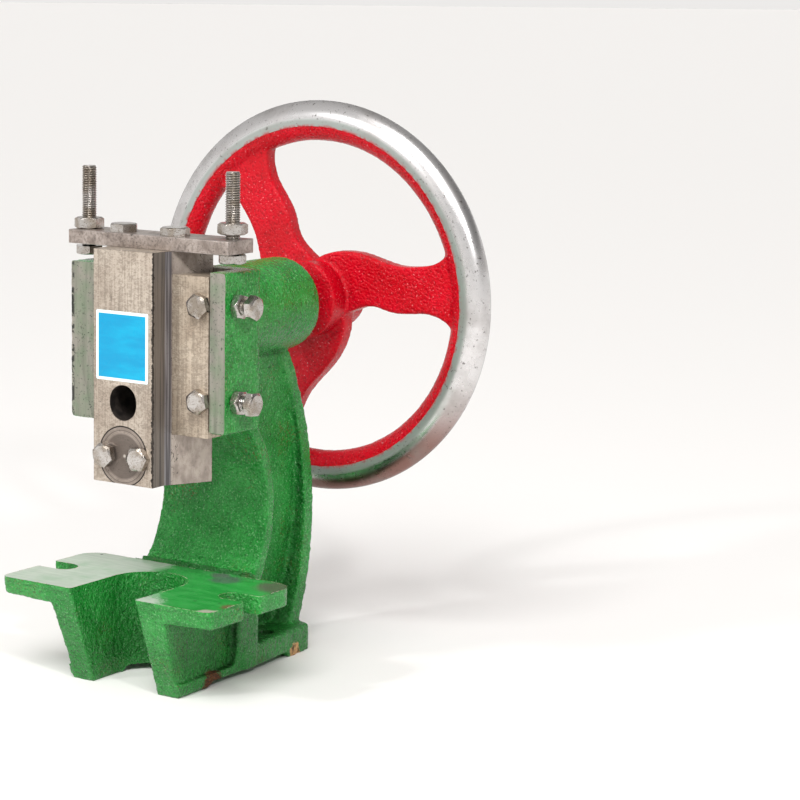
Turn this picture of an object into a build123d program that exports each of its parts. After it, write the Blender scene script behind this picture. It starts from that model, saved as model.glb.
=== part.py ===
from build123d import *
import os
from math import acos, cos, hypot, pi, radians, sin, tan

# Hand punch press: cast C-frame, dovetail ram, rack-and-pinion drive and rear handwheel.
# Millimetres. X to the right, Y to the back, Z up from the bench. The parts are drawn about the
# tool shank's axis, at X = Y = 0, and moved as they are written, so that the origin lies on the
# bench in the centre plane of the casting, at the middle of the press's whole plan.

# ---- layout ----
BOLSTER_Z = 56.0          # die table height above the bench
AXIS_X = 5.0              # drive shaft and centre plane of the casting
AXIS_Z = 197.8            # drive shaft height
HEAD_Z = (143.2, 229.0)
HEAD_HALF = 51.7          # half width of the head, from the casting's centre plane
HEAD_FRONT = -6.0
HEAD_BACK = 26.0
RUN_GAP = 0.05            # running clearance of journals and of the ways' floor
FLANK_GAP = 0.06          # running clearance of the dovetail flanks, measured across
SCREW_GAP = 0.02          # radial gap between a plain screw body and its hole
LOOSE_GAP = 0.3           # radial gap of a hole that a screw passes through freely
PAST = 1.0                # how far a cutter runs past the face it opens

# ---- ram ----
RAM_Z = (113.0, 238.5)
RAM_HALF = 20.0           # half width of the front block
RAM_FRONT = -20.0
FLANK_FRONT = -9.6        # where the dovetail flanks start
RAM_BACK = 15.5
RAM_BACK_HALF = 33.0      # half width at the back, about a 60 degree dovetail
POCKET_X = (-18.6, 19.6)
POCKET_FRONT = 1.0
POCKET_Z = (143.5, 215.5)
WINDOW_Z = 157.0
WINDOW_WIDTH = 17.8
WINDOW_HEIGHT = 19.2
SHANK_R = 7.0             # tool shank bore
SHANK_TOP = 141.0
CAP_R = 16.4
CAP_Z = 128.0
CAP_BACK = -1.0
CAP_GAP = 0.1
DISH_R = 12.5             # shallow turned dish in the clamp cap's face
DISH_TIP_R = 1.0
DISH_DEPTH = 1.4
CLAMP_X = 11.5
CLAMP_DEPTH = 13.0        # how far behind the tool axis the clamp bolt holes reach
LABEL_X = (-18.0, 16.8)
LABEL_Z = (168.5, 206.0)
LABEL_THICK = 0.3

# ---- screw sizes ----
M8_R = 4.0
M8_FLATS = 14.0          # screws and nuts of the stop plate
M8_SMALL_FLATS = 12.0    # screws and nuts on the head and the tool clamp
M8_HEAD = 4.6
M8_NUT = 6.2
M8_THIN_NUT = 5.0
M5_R = 2.5
M5_HEAD_R = 4.25
M5_HEAD = 5.0
M5_SOCKET = 2.0           # half of the hexagon's width across flats
M5_SOCKET_DEPTH = 2.5
HEX_CHAMFER = (0.6, 1.15)        # turned corner of hex heads and nuts, along and across
SHANK_CHAMFER = 0.8

# ---- stop plate on the ram ----
PLATE_THICK = 7.5
PLATE_HALF = 53.5
PLATE_Y = (-6.5, 16.5)
PLATE_EDGE = 0.3
PLATE_BOLT_X = 17.3
PLATE_BOLT_Y = 2.5
PLATE_BOLT_LENGTH = 20.0
PLATE_BOLT_TURN = (5, -16)
STOP_X = 48.2             # either side of the casting's centre plane
STOP_Y = 5.0
STOP_LENGTH = 43.5
STOP_SEAT_Z = (236.7, 237.9)     # bearing face of the left and right stop bolt heads
STOP_NUT_Z = (246.0, 248.6)      # underside of the left and right lock nuts
STOP_NUT_TURN = (35, 38)
STOP_BOLT_TURN = 50

# ---- gib ----
GIB_OUTER = 45.9
GIB_Z = (140.5, 226.5)
GIB_BOLT_GAP = 0.4        # radial gap round the gib's fixing bolts, which lets it be moved up
EAR_INNER = 46.9
GIB_BOLT_X = 40.5
GIB_BOLT_Z = (160.0, 211.0)
GIB_BOLT_LENGTH = 30.0
GIB_BOLT_TURN = (8, 14)
GIB_SCREW_Y = 4.0
GIB_SCREW_TURN = (26, 6)
GIB_NUT_TURN = (22, 17)
GIB_HEAD_GAP = 4.2        # bare thread between lock nut and screw head
CLAMP_BOLT_TURN = (12, 34)
CLAMP_BOLT_LENGTH = 30.0

# ---- rack and pinion ----
MODULE = 1.5
PINION_TEETH = 16
PRESSURE_ANGLE = radians(20)
BACKLASH = 0.16
PITCH_R = MODULE * PINION_TEETH / 2
TOOTH_PITCH = pi * MODULE
TOOTH_WIDTH = TOOTH_PITCH / 2 - BACKLASH / 2
PINION_ROOT_R = PITCH_R - 1.25 * MODULE
PINION_TIP_R = PITCH_R + MODULE - 0.05
PINION_Y = (1.8, 15.0)
RACK_PITCH_X = AXIS_X - PITCH_R
RACK_ADDENDUM = 1.4
RACK_DEDENDUM = 1.9
RACK_BACK_X = POCKET_X[0] + 0.1
RACK_Y = (POCKET_FRONT, 15.3)
RACK_END_GAP = 0.5        # gap between each end of the rack and the pocket
RACK_SCREW_X = -13.8
RACK_SCREW_SPACING = 28.0
RACK_SCREW_LENGTH = 16.0
RACK_SCREW_SEAT = 10.0    # where the screw heads seat in the rack

# ---- shaft ----
ROOT_END_Y = 15.5         # the pinion's root cylinder runs a little past its teeth
SHOULDER_R = 11.0
SHOULDER_END_Y = 16.4     # back of the shoulder, against the front bush
SHAFT_R = 9.0
SEAT_R = 7.5
SEAT_END_Y = 178.0
SHAFT_END_Y = 139.5
STUB_R = 6.0
STUB_END = 196.0
KEY_HALF = 2.5
KEY_Z = (4.5, 9.6)        # bottom and top of the key above the shaft axis
KEY_Y = (144.0, 172.0)
BOSS_R = 26.6
BOSS_END = 123.0
BOSS_EDGE = 5.5
BUSH_R = 13.9
FRONT_BUSH_Y = (16.5, 48.0)
REAR_BUSH_Y = (88.0, 123.2)
THRUST_COLLAR_R = 15.5
THRUST_COLLAR_Y = (123.5, 135.5)
THRUST_COLLAR_EDGE = 0.8
COLLAR_SCREW_RECESS = 0.3
COLLAR_SOCKET = 1.25      # half of the hexagon's width across flats
COLLAR_SOCKET_DEPTH = 2.5

# ---- handwheel ----
RIM_R = 114.0
RIM_INNER_R = 91.0
RIM_Y = 159.7
RIM_HALF_THICK = 8.5
HUB_FRONT_R = 23.0
HUB_R = 21.0
HUB_BACK_R = 20.0
HUB_Y = (139.6, 157.0, 178.2)
SPOKE_Y = (155.2, 165.2)
SPOKES = 3
WASHER_R = 14.0
WASHER_Y = (178.3, 180.8)
WHEEL_NUT_FLATS = 19.0
WHEEL_NUT_HEIGHT = 10.0
WHEEL_NUT_TURN = 10

# ---- base ----
WING_HALF = 71.0
WING_Y = (-38.0, 41.0)
WING_EDGE = 10.0          # thickness of the wings at their outer edge
WING_FRONT_CORNER = 5.0
WING_REAR_CORNER = 12.0
THROAT_HALF = 22.0
THROAT_Y = 1.5
SLOT_HALF = 7.3
SLOT_TIP = 50.4
SLOT_Y = 1.0
LEG_TOE_Y = -18.0         # the fronts slope back from the wings' edge to here at the bench
LEG_OUTER = 39.7
LEG_FOOT = 37.5
LEG_TOE_EDGE = (1.5, 2.5)        # relief along the bottom edge of the legs, across and up
WING_ROOT = ((0.0, 6.5), (1.4, 3.4), (4.6, 1.4))    # hollow under the wing, out of the leg and down
ROOT_BACK = 56.0
ROOT_TOP = 55.0           # the root behind the table is left unmachined, a little lower
ROOT_CORNER = 6.0
PANEL_BACK = 33.0
PANEL_Z = (8.0, 45.0)
PANEL_STEP = 0.6          # depth of the leg's side panel at its front edge
PANEL_ANGLE = 3.6         # it deepens towards the back by this many degrees
PANEL_REACH = 8.0
PANEL_CORNER = 4.0
FOOT_FRONT = 36.0
FOOT_TOP = 15.5
FOOT_WAIST_Y = 60.0
FOOT_WAIST_HALF = 36.9
FOOT_END = 113.0
FOOT_END_HALF = 32.5
FOOT_CORNER = 4.0
FOOT_EDGE = 2.5
ARCH_Y = (8.0, 89.0)
ARCH_RISE = 3.4
ARCH_SLOPES = (4.0, 2.0)         # run of the arch's front and rear ends
FIXING_X = 24.0
FIXING_Y = 79.0
FIXING_R = 5.0

# ---- column ----
COLUMN_FRONT = ((41.0, 56.0), (56.0, 98.0), (38.0, 142.0))      # throat curve, as (y, z)
COLUMN_BACK = ((110.0, 14.5), (132.6, 97.0), (116.0, 171.0))    # rear curve, as (y, z)
COLUMN_BOTTOM = 4.0
COLUMN_TOP = 171.0
FRONT_FLANGE = 7.0
FRONT_FLANGE_HALF = ((30.0, 37.6), (56.0, 37.6), (151.0, 34.0))             # as (z, half width)
REAR_FLANGE = 9.0
REAR_FLANGE_HALF = ((0.0, 21.5), (18.0, 21.0), (150.0, 10.0), (172.0, 9.0))    # as (z, half width)
WEB_HALF = 8.0
NECK_HALF = 34.0
NECK_BACK = 45.0
NECK_TOP = 205.0
NECK_CORNER = 6.0

MIDDLE_Y = (WING_Y[0] + STUB_END) / 2


# ---- helpers ----
def prism_z(face, low, high):
    """A face drawn in X and Y, extruded from low to high along Z."""
    return Pos(0, 0, low) * extrude(face, high - low)


def prism_y(face, front, back):
    """A face drawn as (x, z), extruded from front to back along Y."""
    plane = Plane(origin=(0, back, 0), x_dir=(1, 0, 0), z_dir=(0, -1, 0))
    return extrude(plane * face, back - front)


def prism_x(face, left, right):
    """A face drawn as (y, z), extruded from left to right along X."""
    plane = Plane(origin=(left, 0, 0), x_dir=(0, 1, 0), z_dir=(1, 0, 0))
    return extrude(plane * face, right - left)


def polygon(*points):
    """A face with straight edges."""
    return make_face(Polyline(*points, close=True))


def rod_x(radius, left, right, y, z):
    """A cylinder along X."""
    return Pos((left + right) / 2, y, z) * Rot(0, 90, 0) * Cylinder(radius, right - left)


def rod_y(radius, front, back, x=AXIS_X, z=AXIS_Z):
    """A cylinder along Y, on the drive axis unless placed elsewhere."""
    return Pos(x, (front + back) / 2, z) * Rot(90, 0, 0) * Cylinder(radius, back - front)


def rod_z(radius, low, high, x, y):
    """A cylinder along Z."""
    return Pos(x, y, (low + high) / 2) * Cylinder(radius, high - low)


def box(x_range, y_range, z_range):
    """A block between two corners."""
    size = [high - low for low, high in (x_range, y_range, z_range)]
    centre = [(high + low) / 2 for low, high in (x_range, y_range, z_range)]
    return Pos(*centre) * Box(*size)


def round_edges(shape):
    """The shape's circular edges, from the front to the back."""
    return shape.edges().filter_by(GeomType.CIRCLE).sort_by(Axis.Y)


def circle_through(first, middle, last):
    """Centre and radius of the circle through three points."""
    (ax, ay), (bx, by), (cx, cy) = first, middle, last
    twice_area = 2 * (ax * (by - cy) + bx * (cy - ay) + cx * (ay - by))
    a2 = ax * ax + ay * ay
    b2 = bx * bx + by * by
    c2 = cx * cx + cy * cy
    ux = (a2 * (by - cy) + b2 * (cy - ay) + c2 * (ay - by)) / twice_area
    uy = (a2 * (cx - bx) + b2 * (ax - cx) + c2 * (bx - ax)) / twice_area
    return (ux, uy), hypot(ax - ux, ay - uy)


def save(name, *solids):
    """Moves one node from the tool axis to the origin and writes it as a STEP file."""
    moved = [Pos(-AXIS_X, -MIDDLE_Y, 0) * solid for solid in solids]
    shape = moved[0] if len(moved) == 1 else Compound(children=moved)
    shape.label = name
    export_step(shape, os.path.join("parts", name + ".step"))


# ---- fasteners ----
def hexagon(half_flats, height):
    """A hexagonal bar standing on Z = 0."""
    return extrude(RegularPolygon(half_flats, 6, major_radius=False), height)


def hex_prism(flats, height, both_ends=False):
    """A hexagon with its corners turned off, standing on Z = 0."""
    corner_r = flats / 2 / cos(radians(30))
    disc = Pos(0, 0, height / 2) * Cylinder(corner_r, height)
    rims = disc.edges().filter_by(GeomType.CIRCLE).sort_by(Axis.Z)
    disc = chamfer(rims if both_ends else rims[-1:], *HEX_CHAMFER)
    return hexagon(flats / 2, height) & disc


def hex_bolt(length, flats=M8_FLATS):
    """An M8 hex bolt: head above Z = 0, shank below it."""
    shank = Pos(0, 0, -length / 2) * Cylinder(M8_R, length)
    tip = shank.edges().filter_by(GeomType.CIRCLE).sort_by(Axis.Z)[0]
    return hex_prism(flats, M8_HEAD) + chamfer(tip, SHANK_CHAMFER)


def hex_nut(radius, flats, height):
    """A nut standing on Z = 0."""
    hole = Pos(0, 0, height / 2) * Cylinder(radius + SCREW_GAP, 2 * height)
    return hex_prism(flats, height, both_ends=True) - hole


def cap_screw(length):
    """An M5 socket screw: head above Z = 0, shank below it."""
    head = Pos(0, 0, M5_HEAD / 2) * Cylinder(M5_HEAD_R, M5_HEAD)
    socket = Pos(0, 0, M5_HEAD - M5_SOCKET_DEPTH) * hexagon(M5_SOCKET, M5_SOCKET_DEPTH)
    shank = Pos(0, 0, -length / 2) * Cylinder(M5_R, length)
    return head + shank - socket


def place(part, x, y, z, axis, turn=0.0):
    """Puts a fastener at a point with its head pointing along axis, turned about that axis."""
    x_dir = (1, 0, 0) if axis[2] else (0, 0, 1)
    plane = Plane(origin=(x, y, z), x_dir=x_dir, z_dir=axis)
    return plane * (Rot(0, 0, turn) * part)


# ---- ram group ----
def flank_x(y):
    """Half width of the dovetail at depth y."""
    slope = (RAM_BACK_HALF - RAM_HALF) / (RAM_BACK - FLANK_FRONT)
    return RAM_HALF + slope * (y - FLANK_FRONT)


def shank_bore():
    """The vertical hole that takes a tool shank."""
    return rod_z(SHANK_R, RAM_Z[0] - PAST, SHANK_TOP, 0, 0)


def window():
    """The oblong hole from the ram's front into the rack pocket."""
    slot = SlotCenterToCenter(WINDOW_HEIGHT - WINDOW_WIDTH, WINDOW_WIDTH, rotation=90)
    return prism_y(Pos(0, WINDOW_Z) * slot, RAM_FRONT - PAST, POCKET_FRONT + PAST)


def rack_screw_heights():
    middle = sum(POCKET_Z) / 2
    return [middle - RACK_SCREW_SPACING, middle, middle + RACK_SCREW_SPACING]


def make_ram():
    section = polygon(
        (-RAM_HALF, RAM_FRONT),
        (RAM_HALF, RAM_FRONT),
        (RAM_HALF, FLANK_FRONT),
        (RAM_BACK_HALF, RAM_BACK),
        (-RAM_BACK_HALF, RAM_BACK),
        (-RAM_HALF, FLANK_FRONT),
    )
    ram = prism_z(section, *RAM_Z)
    ram -= box(POCKET_X, (POCKET_FRONT, RAM_BACK + PAST), POCKET_Z)
    ram -= window()
    ram -= shank_bore()
    ram -= rod_y(CAP_R + CAP_GAP, RAM_FRONT - PAST, 0, 0, CAP_Z)
    plate_hole = (RAM_Z[1] - PLATE_BOLT_LENGTH + PLATE_THICK - PAST, RAM_Z[1] + PAST)
    for side in (-1, 1):
        ram -= rod_y(M8_R + SCREW_GAP, -PAST, CLAMP_DEPTH, side * CLAMP_X, CAP_Z)
        ram -= rod_z(M8_R + SCREW_GAP, *plate_hole, side * PLATE_BOLT_X, PLATE_BOLT_Y)
    tip = RACK_SCREW_SEAT - RACK_SCREW_LENGTH - PAST
    for z in rack_screw_heights():
        ram -= rod_y(M5_R + SCREW_GAP, tip, POCKET_FRONT + PAST, RACK_SCREW_X, z)
    return ram


def make_clamp_cap():
    """The round cap that closes the front half of the shank bore."""
    cap = rod_y(CAP_R, RAM_FRONT, CAP_BACK, 0, CAP_Z)
    dish = Cone(DISH_R, DISH_TIP_R, DISH_DEPTH)
    cap -= Pos(0, RAM_FRONT + DISH_DEPTH / 2, CAP_Z) * Rot(-90, 0, 0) * dish
    cap -= shank_bore()
    for side in (-1, 1):
        cap -= rod_y(M8_R + LOOSE_GAP, RAM_FRONT - PAST, 0, side * CLAMP_X, CAP_Z)
    below = (RAM_Z[0] - CAP_R, RAM_Z[0])
    return cap - box((-CAP_R, CAP_R), (RAM_FRONT - PAST, 0), below)


def make_clamp_bolts():
    bolt = hex_bolt(CLAMP_BOLT_LENGTH, M8_SMALL_FLATS)
    return [
        place(bolt, side * CLAMP_X, RAM_FRONT, CAP_Z, (0, -1, 0), turn)
        for side, turn in zip((-1, 1), CLAMP_BOLT_TURN)
    ]


def rack_outline():
    """Toothed strip as (x, z), with a tooth space level with the drive axis at rest."""
    root_x = RACK_PITCH_X - RACK_DEDENDUM
    tip_x = RACK_PITCH_X + RACK_ADDENDUM
    half_root = TOOTH_WIDTH / 2 + RACK_DEDENDUM * tan(PRESSURE_ANGLE)
    half_tip = TOOTH_WIDTH / 2 - RACK_ADDENDUM * tan(PRESSURE_ANGLE)
    low = POCKET_Z[0] + RACK_END_GAP
    high = POCKET_Z[1] - RACK_END_GAP
    first = int((low + half_root - AXIS_Z) / TOOTH_PITCH - 0.5)
    last = int((high - half_root - AXIS_Z) / TOOTH_PITCH - 0.5)
    points = [(RACK_BACK_X, high), (RACK_BACK_X, low), (root_x, low)]
    for index in range(first, last + 1):
        z = AXIS_Z + (index + 0.5) * TOOTH_PITCH
        points += [(root_x, z - half_root), (tip_x, z - half_tip)]
        points += [(tip_x, z + half_tip), (root_x, z + half_root)]
    points.append((root_x, high))
    return polygon(*points)


def make_rack():
    """The rack stands against the pocket's left wall and meets the pinion on its left side."""
    rack = prism_y(rack_outline(), *RACK_Y)
    for z in rack_screw_heights():
        rack -= rod_y(M5_R + SCREW_GAP, RACK_Y[0] - PAST, RAM_BACK, RACK_SCREW_X, z)
        rack -= rod_y(M5_HEAD_R + CAP_GAP, RACK_SCREW_SEAT, RAM_BACK, RACK_SCREW_X, z)
    return rack


def make_rack_screws():
    screw = cap_screw(RACK_SCREW_LENGTH)
    return [
        place(screw, RACK_SCREW_X, RACK_SCREW_SEAT, z, (0, 1, 0)) for z in rack_screw_heights()
    ]


def make_stop_plate():
    low, high = RAM_Z[1], RAM_Z[1] + PLATE_THICK
    plate = box((AXIS_X - PLATE_HALF, AXIS_X + PLATE_HALF), PLATE_Y, (low, high))
    plate = chamfer(plate.edges(), PLATE_EDGE)
    for side in (-1, 1):
        x = AXIS_X + side * STOP_X
        plate -= rod_z(M8_R + SCREW_GAP, low - PAST, high + PAST, x, STOP_Y)
        x = side * PLATE_BOLT_X
        plate -= rod_z(M8_R + LOOSE_GAP, low - PAST, high + PAST, x, PLATE_BOLT_Y)
    return plate


def make_plate_bolts():
    bolt = hex_bolt(PLATE_BOLT_LENGTH)
    seat = RAM_Z[1] + PLATE_THICK
    return [
        place(bolt, side * PLATE_BOLT_X, PLATE_BOLT_Y, seat, (0, 0, 1), turn)
        for side, turn in zip((-1, 1), PLATE_BOLT_TURN)
    ]


def make_stop_bolts():
    bolt = hex_bolt(STOP_LENGTH)
    return [
        place(bolt, AXIS_X + side * STOP_X, STOP_Y, seat, (0, 0, -1), STOP_BOLT_TURN)
        for side, seat in zip((-1, 1), STOP_SEAT_Z)
    ]


def make_stop_nuts():
    nut = hex_nut(M8_R, M8_FLATS, M8_NUT)
    return [
        place(nut, AXIS_X + side * STOP_X, STOP_Y, seat, (0, 0, 1), turn)
        for side, seat, turn in zip((-1, 1), STOP_NUT_Z, STOP_NUT_TURN)
    ]


def make_label():
    return box(LABEL_X, (RAM_FRONT - LABEL_THICK, RAM_FRONT), LABEL_Z)


# ---- gib group ----
def make_gib():
    """The adjustable right-hand flank, clear of the ram by the running gap."""
    back = RAM_BACK + RUN_GAP
    section = polygon(
        (flank_x(HEAD_FRONT) + FLANK_GAP, HEAD_FRONT),
        (GIB_OUTER, HEAD_FRONT),
        (GIB_OUTER, back),
        (flank_x(back) + FLANK_GAP, back),
    )
    gib = prism_z(section, *GIB_Z)
    for z in GIB_BOLT_Z:
        gib -= rod_y(M8_R + GIB_BOLT_GAP, HEAD_FRONT - PAST, back + PAST, GIB_BOLT_X, z)
    return gib


def make_gib_bolts():
    bolt = hex_bolt(GIB_BOLT_LENGTH, M8_SMALL_FLATS)
    return [
        place(bolt, GIB_BOLT_X, HEAD_FRONT, z, (0, -1, 0), turn)
        for z, turn in zip(GIB_BOLT_Z, GIB_BOLT_TURN)
    ]


def make_gib_screws():
    """Side screws: tip on the gib, thread through the ear, bare thread outside the lock nut."""
    tip = GIB_OUTER + SCREW_GAP
    seat = AXIS_X + HEAD_HALF + M8_THIN_NUT + GIB_HEAD_GAP
    bolt = hex_bolt(seat - tip, M8_SMALL_FLATS)
    return [
        place(bolt, seat, GIB_SCREW_Y, z, (1, 0, 0), turn)
        for z, turn in zip(GIB_BOLT_Z, GIB_SCREW_TURN)
    ]


def make_gib_nuts():
    nut = hex_nut(M8_R, M8_SMALL_FLATS, M8_THIN_NUT)
    return [
        place(nut, AXIS_X + HEAD_HALF, GIB_SCREW_Y, z, (1, 0, 0), turn)
        for z, turn in zip(GIB_BOLT_Z, GIB_NUT_TURN)
    ]


# ---- body casting ----
def base_plan():
    """The base wings from above, with the open throat and the two side slots."""
    front, back = WING_Y
    plan = Pos(0, (front + back) / 2) * Rectangle(2 * WING_HALF, back - front)
    plan = fillet(plan.vertices().sort_by(Axis.Y)[:2], WING_FRONT_CORNER)
    plan = fillet(plan.vertices().sort_by(Axis.Y)[-2:], WING_REAR_CORNER)
    throat_front = front - PAST
    throat = Pos(0, THROAT_Y) * Circle(THROAT_HALF)
    throat += Pos(0, (throat_front + THROAT_Y) / 2) * Rectangle(
        2 * THROAT_HALF, THROAT_Y - throat_front
    )
    plan -= throat
    centre_x = SLOT_TIP + SLOT_HALF
    run = WING_HALF + PAST - centre_x
    for side in (-1, 1):
        plan -= Pos(side * centre_x, SLOT_Y) * Circle(SLOT_HALF)
        plan -= Pos(side * (centre_x + run / 2), SLOT_Y) * Rectangle(run, 2 * SLOT_HALF)
    return plan


def leg_profile():
    """Front view of the right wing and its leg, as (x, z)."""
    under = BOLSTER_Z - WING_EDGE
    hollow = [(LEG_OUTER + out, under - down) for out, down in WING_ROOT]
    return polygon(
        (0, 0),
        (LEG_FOOT - LEG_TOE_EDGE[0], 0),
        (LEG_FOOT, LEG_TOE_EDGE[1]),
        *hollow,
        (WING_HALF, under),
        (WING_HALF, BOLSTER_Z),
        (0, BOLSTER_Z),
    )


def front_slope():
    """What is cut away in front of the legs and wings, as (y, z)."""
    front = WING_Y[0]
    lean = (LEG_TOE_Y - front) / BOLSTER_Z
    return polygon(
        (front - PAST, -PAST),
        (LEG_TOE_Y + lean * PAST, -PAST),
        (front, BOLSTER_Z),
        (front - PAST, BOLSTER_Z + PAST),
    )


def leg_panel():
    """What is cut from the right leg's outer face: a recess that deepens towards the back."""
    low, high = PANEL_Z
    profile = polygon(
        (LEG_FOOT - PANEL_STEP, low),
        (LEG_OUTER - PANEL_STEP, high),
        (LEG_OUTER + PANEL_REACH, high),
        (LEG_OUTER + PANEL_REACH, low),
    )
    panel = prism_y(profile, WING_Y[0] - PAST, PANEL_BACK)
    panel = fillet(panel.edges().filter_by(Axis.X).sort_by(Axis.Y)[-2:], PANEL_CORNER)
    front_edge = Pos(LEG_FOOT, WING_Y[0], 0)
    return front_edge * Rot(0, 0, PANEL_ANGLE) * front_edge.inverse() * panel


def make_base():
    """Wings, legs and the solid root behind the throat."""
    half = prism_y(leg_profile(), *WING_Y)
    base = (half + mirror(half, Plane.YZ)) & prism_z(base_plan(), 0, BOLSTER_Z)
    root_half = LEG_OUTER - PAST
    root = box((-root_half, root_half), (WING_Y[1] - PAST, ROOT_BACK), (0, ROOT_TOP))
    root_corners = root.edges().filter_by(Axis.Z).sort_by(Axis.Y)[-2:]
    base += fillet(root_corners, ROOT_CORNER)
    base -= prism_x(front_slope(), -WING_HALF - PAST, WING_HALF + PAST)
    base -= leg_panel()
    return base - mirror(leg_panel(), Plane.YZ)


def make_foot():
    """The low rear foot, tapering slightly to the back."""
    plan = polygon(
        (-LEG_FOOT, FOOT_FRONT),
        (LEG_FOOT, FOOT_FRONT),
        (FOOT_WAIST_HALF, FOOT_WAIST_Y),
        (FOOT_END_HALF, FOOT_END),
        (-FOOT_END_HALF, FOOT_END),
        (-FOOT_WAIST_HALF, FOOT_WAIST_Y),
    )
    foot = prism_z(plan, 0, FOOT_TOP)
    foot = fillet(foot.edges().filter_by(Axis.Z).sort_by(Axis.Y)[-2:], FOOT_CORNER)
    top = foot.faces().sort_by(Axis.Z)[-1]
    return fillet(top.edges().sort_by(Axis.Y)[1:], FOOT_EDGE)


def arch():
    """The relief under the casting that leaves pads at the front and back."""
    front, back = ARCH_Y
    section = polygon(
        (front - ARCH_SLOPES[0] / ARCH_RISE, -PAST),
        (front, 0),
        (front + ARCH_SLOPES[0], ARCH_RISE),
        (back - ARCH_SLOPES[1], ARCH_RISE),
        (back, 0),
        (back + ARCH_SLOPES[1] / ARCH_RISE, -PAST),
    )
    return prism_x(section, -WING_HALF, WING_HALF)


def band(curve, thick):
    """A curved flange: the ring between a circular side-view curve and its offset."""
    (centre_y, centre_z), radius = circle_through(*curve)
    ring = Circle(max(radius, radius + thick)) - Circle(min(radius, radius + thick))
    return prism_x(Pos(centre_y, centre_z) * ring, AXIS_X - HEAD_HALF, AXIS_X + HEAD_HALF)


def column_side():
    """Side view of the column between its two curves, as (y, z)."""
    front_top = (COLUMN_FRONT[2][0], COLUMN_TOP)
    back_bottom = (COLUMN_BACK[0][0], COLUMN_BOTTOM)
    front_bottom = (COLUMN_FRONT[0][0], COLUMN_BOTTOM)
    edges = Curve() + [
        ThreePointArc(*COLUMN_FRONT),
        Line(COLUMN_FRONT[2], front_top),
        Line(front_top, COLUMN_BACK[2]),
        ThreePointArc(*COLUMN_BACK),
        Line(COLUMN_BACK[0], back_bottom),
        Line(back_bottom, front_bottom),
        Line(front_bottom, COLUMN_FRONT[0]),
    ]
    return make_face(edges)


def tapering_plan(half_widths):
    """A block through the column whose half width changes with height."""
    right = [(AXIS_X + half, z) for z, half in half_widths]
    left = [(AXIS_X - half, z) for z, half in reversed(half_widths)]
    return prism_y(polygon(*right, *left), COLUMN_FRONT[2][0] - PAST, COLUMN_BACK[1][0] + PAST)


def make_column():
    """Curved I-section: web, front flange round the throat and a tapering rear flange."""
    side = column_side()
    web = prism_x(side, AXIS_X - WEB_HALF, AXIS_X + WEB_HALF)
    whole = prism_x(side, AXIS_X - HEAD_HALF, AXIS_X + HEAD_HALF)
    front = band(COLUMN_FRONT, FRONT_FLANGE) & whole & tapering_plan(FRONT_FLANGE_HALF)
    rear = band(COLUMN_BACK, -REAR_FLANGE) & whole & tapering_plan(REAR_FLANGE_HALF)
    return web + front + rear


def make_head():
    """The head block, its neck and the drive shaft boss."""
    head_x = (AXIS_X - HEAD_HALF, AXIS_X + HEAD_HALF)
    head = box(head_x, (HEAD_FRONT, HEAD_BACK), HEAD_Z)
    neck_x = (AXIS_X - NECK_HALF, AXIS_X + NECK_HALF)
    neck = box(neck_x, (HEAD_BACK - PAST, NECK_BACK), (HEAD_Z[0], NECK_TOP))
    neck = fillet(neck.edges().filter_by(Axis.Z).sort_by(Axis.Y)[-2:], NECK_CORNER)
    boss = rod_y(BOSS_R, HEAD_BACK - PAST, BOSS_END)
    return head + neck + fillet(round_edges(boss)[-1], BOSS_EDGE)


def ways_cut():
    """The slot in the head: the left dovetail flank, the floor and the gib seat."""
    floor = RAM_BACK + RUN_GAP
    front = HEAD_FRONT - PAST
    section = polygon(
        (-flank_x(front) - FLANK_GAP, front),
        (EAR_INNER, front),
        (EAR_INNER, floor),
        (-flank_x(floor) - FLANK_GAP, floor),
    )
    return prism_z(section, HEAD_Z[0] - PAST, HEAD_Z[1] + PAST)


def make_body():
    body = make_base() + make_foot() + make_column() + make_head()
    body -= ways_cut()
    body -= arch()
    body -= rod_y(BUSH_R, RAM_BACK - PAST, BOSS_END + PAST)
    ear_face = AXIS_X + HEAD_HALF
    for z in GIB_BOLT_Z:
        body -= rod_y(M8_R + SCREW_GAP, RAM_BACK - PAST, HEAD_BACK + PAST, GIB_BOLT_X, z)
        body -= rod_x(M8_R + SCREW_GAP, EAR_INNER - PAST, ear_face + PAST, GIB_SCREW_Y, z)
    for side in (-1, 1):
        body -= rod_z(FIXING_R, -PAST, FOOT_TOP + PAST, side * FIXING_X, FIXING_Y)
    return body


# ---- drive group ----
def involute(angle):
    return tan(angle) - angle


def pinion_outline():
    """Involute spur gear about the drive axis, with a tooth pointing at the rack."""
    base_r = PITCH_R * cos(PRESSURE_ANGLE)
    half_at_base = TOOTH_WIDTH / 2 / PITCH_R + involute(PRESSURE_ANGLE)
    steps = 6
    flank = [(PINION_ROOT_R, half_at_base)]
    for step in range(steps + 1):
        radius = base_r + (PINION_TIP_R - base_r) * step / steps
        flank.append((radius, half_at_base - involute(acos(base_r / radius))))
    points = []
    for tooth in range(PINION_TEETH):
        centre = pi + 2 * pi * tooth / PINION_TEETH
        polar = [(r, centre - half) for r, half in flank]
        polar += [(r, centre + half) for r, half in reversed(flank)]
        points += [(AXIS_X + r * cos(angle), AXIS_Z + r * sin(angle)) for r, angle in polar]
    return polygon(*points)


def key_block(gap, y_range, top):
    """The key, or the slot for it when a gap is given, above the shaft axis."""
    half = KEY_HALF + gap
    return box((AXIS_X - half, AXIS_X + half), y_range, (AXIS_Z + KEY_Z[0], AXIS_Z + top))


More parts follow.
